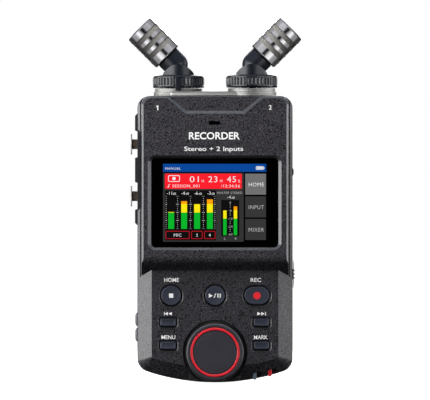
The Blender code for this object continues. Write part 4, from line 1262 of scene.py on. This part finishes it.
def make_slider():
    """Power slider: a lens-shaped knob with three grip ridges."""
    y, z = SLIDER_Y, SLIDER_Z
    sections = []
    for share, x in ((1.0, 36.6), (0.93, 36.72), (0.83, 36.84), (0.7, 36.95), (0.5, 37.0)):
        sections.append((rounded_box(y, z, 6.0 * (0.5 + share / 2), 13.6 * share, 1.1, 8), x))
    knob = loft("power_knob", sections, "X", angle=35)
    ridges = [box("stem", (33.4, y - 1.5, z - 2.5), (36.8, y + 1.5, z + 2.5))]
    for i in (-1, 0, 1):
        middle = z + 1.75 * i
        outline = [(36.7, middle - 0.5), (37.4, middle - 0.28), (37.4, middle + 0.28), (36.7, middle + 0.5)]
        ridges.append(prism(f"ridge_{i}", outline, y - 2.4, y + 2.4))
    fuse(knob, *ridges)
    dress(soften(knob, 0.1), BLACK, "power_slider", "black_plastic", "power_slider")


def make_port_door():
    """Rubber door with a finger lip and pressed lines, over the two sockets."""
    low, high, top, hinge = 0.4, 12.6, 100.3, (HINGE_X, 0, HINGE_Z)
    side = [(35.0, HINGE_Z), (35.0, top), (36.5, top), (36.9, 99.3)]
    side += [(36.9, 97.5), (36.35, 96.5), (36.35, HINGE_Z)]
    door = prism("port_cover", side, low, high)
    fuse(door, rod("barrel", 1.25, low, high, hinge, TO_BACK, 40))
    fuse(door, rod("pin", 0.6, low - 0.8, high + 0.8, hinge, TO_BACK, 24))
    cut(door, *(box(f"groove_{z}", (36.2, 2.0, z), (37.0, 11.0, z + 0.35)) for z in (79.5, 93.5)))
    dress(soften(door, 0.18), RUBBER, "port_door", "rubber", "port_door")


# ---- Back ----
def make_back():
    for i, (x, z) in enumerate(SCREWS, 1):
        make_screw(i, x, z)
    make_battery_cover()
    make_tripod_bush()
    for i in range(4):
        make_cell(i + 1, 14.7 * (i - 1.5), 1 if i % 2 else -1)


def make_battery_cover():
    """Flush cover with grip lines, and its sliding catch."""
    outside = rounded_box(0, HATCH_Z, 59.4, 55.9, 2.0)
    inset = rounded_box(0, HATCH_Z, 58.9, 55.4, 1.75)
    cover = loft("battery_lid", [(outside, BACK_INSIDE + 0.3), (outside, BACK - 0.25), (inset, BACK)])
    cutters = [prism("latch_slot", rounded_box(0, 60.75, 12.6, 6.7, 0.8), 14.0, 20.0)]
    for i in range(5):
        line = rounded_box(0, 16.0 + 1.9 * i, 18.0, 0.7, 0.34, 5)
        cutters.append(prism(f"grip_{i}", line, 17.65, 19.0))
    cut(cover, *cutters)
    dress(soften(cover, 0.12), PAINT, "battery_cover", "body_paint", "battery_cover")
    knob = rounded_box(0, 61.5, 12.0, 4.6, 0.6)
    catch = prism("battery_catch", knob, BACK_INSIDE + 0.3, BACK - 0.2)
    ribs = [box(f"rib_{i}", (-4.2, 17.5, 60.2 + 0.9 * i), (4.2, 19.0, 60.6 + 0.9 * i)) for i in range(3)]
    cut(catch, *ribs)
    dress(soften(catch, 0.15), BLACK, "battery_latch", "black_plastic", "battery_latch")


def make_tripod_bush():
    """Brass bush with four ridges of thread."""
    bottom, pitch, ridges, bore = 11.8, 1.27, 4, 3.4
    profile = [(5.5, 17.9), (5.5, bottom), (bore, bottom)]
    for k in range(ridges):
        low = bottom + pitch * k + 0.3
        profile += [(bore, low), (2.95, low + 0.5), (bore, low + 1.0)]
    profile += [(bore, 17.5), (3.7, 17.9)]
    insert = turned("tripod_bush", profile, (0, 0, TRIPOD_Z), TO_BACK, 72, closed=True)
    dress(insert, BRASS, slot="brass", stands_for="tripod_insert")


def make_cell(number, x, up):
    """AA cell with its button at the end that up gives: 1 for the top, -1 for the bottom."""
    profile = [(0, 25.5), (2.5, 25.5), (2.75, 25.3), (2.75, 24.45), (6.2, 24.4), (6.5, 24.2)]
    profile += [(6.75, 24.1), (7.1, 23.7), (7.1, -23.9), (6.85, -24.4)]
    profile += [(6.75, -24.5), (6.4, -24.6), (6.4, -25.0), (0, -25.0)]
    cell = turned(f"cell_{number}", profile, (x, 8.9, 37.65), (0, 0, up), 64)
    dress(cell, WRAP, slot="cell_wrap", stands_for=f"aa_cell_{number}")


def recolour_inner_nodes():
    """CAD nodes that show only through openings keep their shape and get finished materials."""
    inner = dict.fromkeys(("lcd_module", "dial_encoder", "usb_socket", "card_slot"), STEEL)
    inner |= {"main_board": BOARD, "keypad_membrane": RUBBER, "speaker": BLACK, "battery_tray": BLACK}
    for name, material in inner.items():
        NODES[name].data.materials.clear()
        NODES[name].data.materials.append(material)


# ---- Stage ----
def make_floor():
    bm = bmesh.new()
    bmesh.ops.create_grid(bm, x_segments=1, y_segments=1, size=6.0)
    floor = add("floor", bm)
    floor.location = (0, 0, cad_low.z - 0.0002)
    material, tree, shader, where = new_shader("pale_floor", 0.9, Emission_Strength=1.0)
    cloud = noise(tree, where, 3.0)
    tone = ramp(tree, cloud, [(0.3, grey(0.97)), (0.7, grey(1.0))])
    dim = mix(tree, 0.72, tone, grey(0.0))
    feed(shader, "Base Color", dim)
    feed(shader, "Emission Color", tone)
    floor.data.materials.append(material)
    floor.visible_diffuse = floor.visible_glossy = floor.visible_shadow = False


def make_light(
    name, azimuth, elevation, width, height, strength,
    distance=CARD_DISTANCE, diffuse=True, gloss=True, aim=80,
):
    """Soft box aimed at that height of the recorder. Azimuth counts from the front to the right."""
    target = at(0, 0, aim)
    a, e = radians(azimuth), radians(elevation)
    way = Vector((sin(a) * cos(e), -cos(a) * cos(e), sin(e)))
    light = bpy.data.lights.new(name, "AREA")
    light.shape = "RECTANGLE"
    light.size, light.size_y = width, height
    light.energy = strength * width * height * pi
    obj = place_in_scene(bpy.data.objects.new(name, light))
    obj.location = target + way * distance
    obj.rotation_euler = way.to_track_quat("Z", "Y").to_euler()
    obj.visible_camera = False
    obj.visible_diffuse, obj.visible_glossy = diffuse, gloss
    return obj


def make_reflector_cards():
    """Pale cards beside and below, which light only the microphones, and one for their silver bases."""
    capsules, glossy, satin = (bpy.data.collections.new(name) for name in ("capsules", "glossy", "satin"))
    for tag in ("left", "right"):
        for piece in ("capsule_cage_", "wire_sleeve_"):
            capsules.objects.link(bpy.data.objects[piece + tag])
            glossy.objects.link(bpy.data.objects[piece + tag])
        glossy.objects.link(bpy.data.objects["swivel_arm_" + tag])
    # turn round a tilted capsule in degrees, size, strength, what it lights
    cards = (
        (33, 0.30, 0.62, glossy), (34, 0.50, 0.36, glossy), (62, 0.60, 0.24, glossy),
        (84, 0.44, 0.10, capsules), (-44, 0.50, 0.24, capsules), (-70, 0.44, 0.05, capsules),
    )
    for side in (-1, 1):
        for i, (turn, size, strength, lit) in enumerate(cards):
            turn = radians(turn)
            x, y, z = sin(turn) / sqrt(2), cos(turn), -sin(turn) / sqrt(2)
            azimuth, elevation = degrees(atan2(x, y)), degrees(asin(z))
            card = make_light(f"card_{side}_{i}", side * azimuth, elevation, size, size, strength, aim=155)
            card.light_linking.receiver_collection = lit
    satin.objects.link(bpy.data.objects["swivel_base_right"])
    card = make_light("base_card", 51, 2, 0.5, 0.34, 3.8, diffuse=False)
    card.light_linking.receiver_collection = satin
    leave_out(capsules.objects, ("key_left", "fill_right", "rim_left", "rim_right"))


def leave_out(objects, lights):
    """Keeps the named lights off the capsules, where their reflections would show as pale blotches."""
    without = bpy.data.collections.new("all_but_capsules")
    for obj in objects:
        without.objects.link(obj)
    for member in without.collection_objects:
        member.light_linking.link_state = "EXCLUDE"
    for name in lights:
        bpy.data.objects[name].light_linking.receiver_collection = without


def lobe(tree, direction, aim, start, full):
    """1 where the direction is well inside the cone round aim, 0 outside it. Start and full are cosines."""
    length = sqrt(sum(c * c for c in aim))
    both = {0: direction, 1: tuple(c / length for c in aim)}
    dot = node(tree, "ShaderNodeVectorMath", both, operation="DOT_PRODUCT")
    inputs = {"Value": dot.outputs["Value"], "From Min": start, "From Max": full}
    return node(tree, "ShaderNodeMapRange", inputs, interpolation_type="SMOOTHSTEP").outputs["Result"]


def make_world():
    """White to the camera, and a dim studio to everything else: paler above, dark below and in front."""
    world = bpy.data.worlds.new("studio")
    bpy.context.scene.world = world
    world.use_nodes = True
    tree = world.node_tree
    tree.nodes.clear()
    where = tree.nodes.new("ShaderNodeTexCoord").outputs["Generated"]
    path = tree.nodes.new("ShaderNodeLightPath")
    split = node(tree, "ShaderNodeSeparateXYZ", {0: where})
    up = node(tree, "ShaderNodeMapRange", {"Value": split.outputs["Z"], "From Min": -1.0}).outputs["Result"]
    stops = [(0.0, grey(0.006)), (0.44, grey(0.022)), (0.56, (0.22, 0.22, 0.25)), (1.0, grey(0.38))]
    room = ramp(tree, up, stops)
    left_side = lobe(tree, where, (-1, -0.3, 0.6), 0.2, 0.8)
    room = mix(tree, left_side, room, (0.42, 0.42, 0.44), "LIGHTEN")
    behind = lobe(tree, where, (0, 1, 0), 0.1, 0.75)
    room = mix(tree, behind, room, grey(0.08))
    room = mix(tree, path.outputs["Is Diffuse Ray"], room, mix(tree, 0.55, room, grey(0.0)))
    ahead = lobe(tree, where, (0, -1, 0), 0.90, 0.99)
    room = mix(tree, ahead, room, grey(0.006))
    inside = node(tree, "ShaderNodeBackground", {"Color": room, "Strength": 1.0})
    white = node(tree, "ShaderNodeBackground", {"Color": (1, 1, 1, 1), "Strength": 1.0})
    sockets = {0: path.outputs["Is Camera Ray"], 1: inside.outputs[0], 2: white.outputs[0]}
    both = node(tree, "ShaderNodeMixShader", sockets)
    out = tree.nodes.new("ShaderNodeOutputWorld")
    tree.links.new(both.outputs[0], out.inputs["Surface"])


def make_stage():
    make_floor()
    make_world()
    make_light("overhead", -20, 64, 0.7, 0.5, 7.2, gloss=False)
    make_light("key_left", -51, 2, 0.56, 0.34, 6.2, diffuse=False)
    make_light("fill_right", 51, 2, 0.56, 0.34, 2.2, diffuse=False)
    make_light("rim_left", -94, 2, 0.3, 0.6, 4.6, distance=0.6)
    make_light("rim_right", 94, 2, 0.3, 0.6, 4.0, distance=0.6)
    make_light("top", 0, 84, 0.6, 0.3, 2.2, gloss=False)
    make_light("back", 180, 22, 0.9, 0.6, 4.2, distance=0.8)
    make_reflector_cards()
    camera = bpy.data.cameras.new("camera")
    distance, width_seen = 4.0, 200.8
    camera.lens = 36.0 * distance / (width_seen * MM)
    camera.clip_start, camera.clip_end = 0.01, 20.0
    obj = place_in_scene(bpy.data.objects.new("camera", camera))
    obj.location = at(0.0, FRONT, 85.3) + Vector((0, -distance, 0))
    obj.rotation_euler = (pi / 2, 0, 0)
    bpy.context.scene.camera = obj
    bpy.context.scene.view_settings.view_transform = "Standard"


make_front_shell()
make_panel_shell()
make_rear_shell()
make_seam_seal()
make_glass_plate()
make_screen()
make_markings()
for button in BUTTONS:
    make_cap(*button)
make_symbols()
make_dial()
for mic_side in (-1, 1):
    make_microphone(mic_side)
make_top_plate()
make_xlr_side()
make_side_controls()
make_port_door()
make_back()
recolour_inner_nodes()
make_stage()
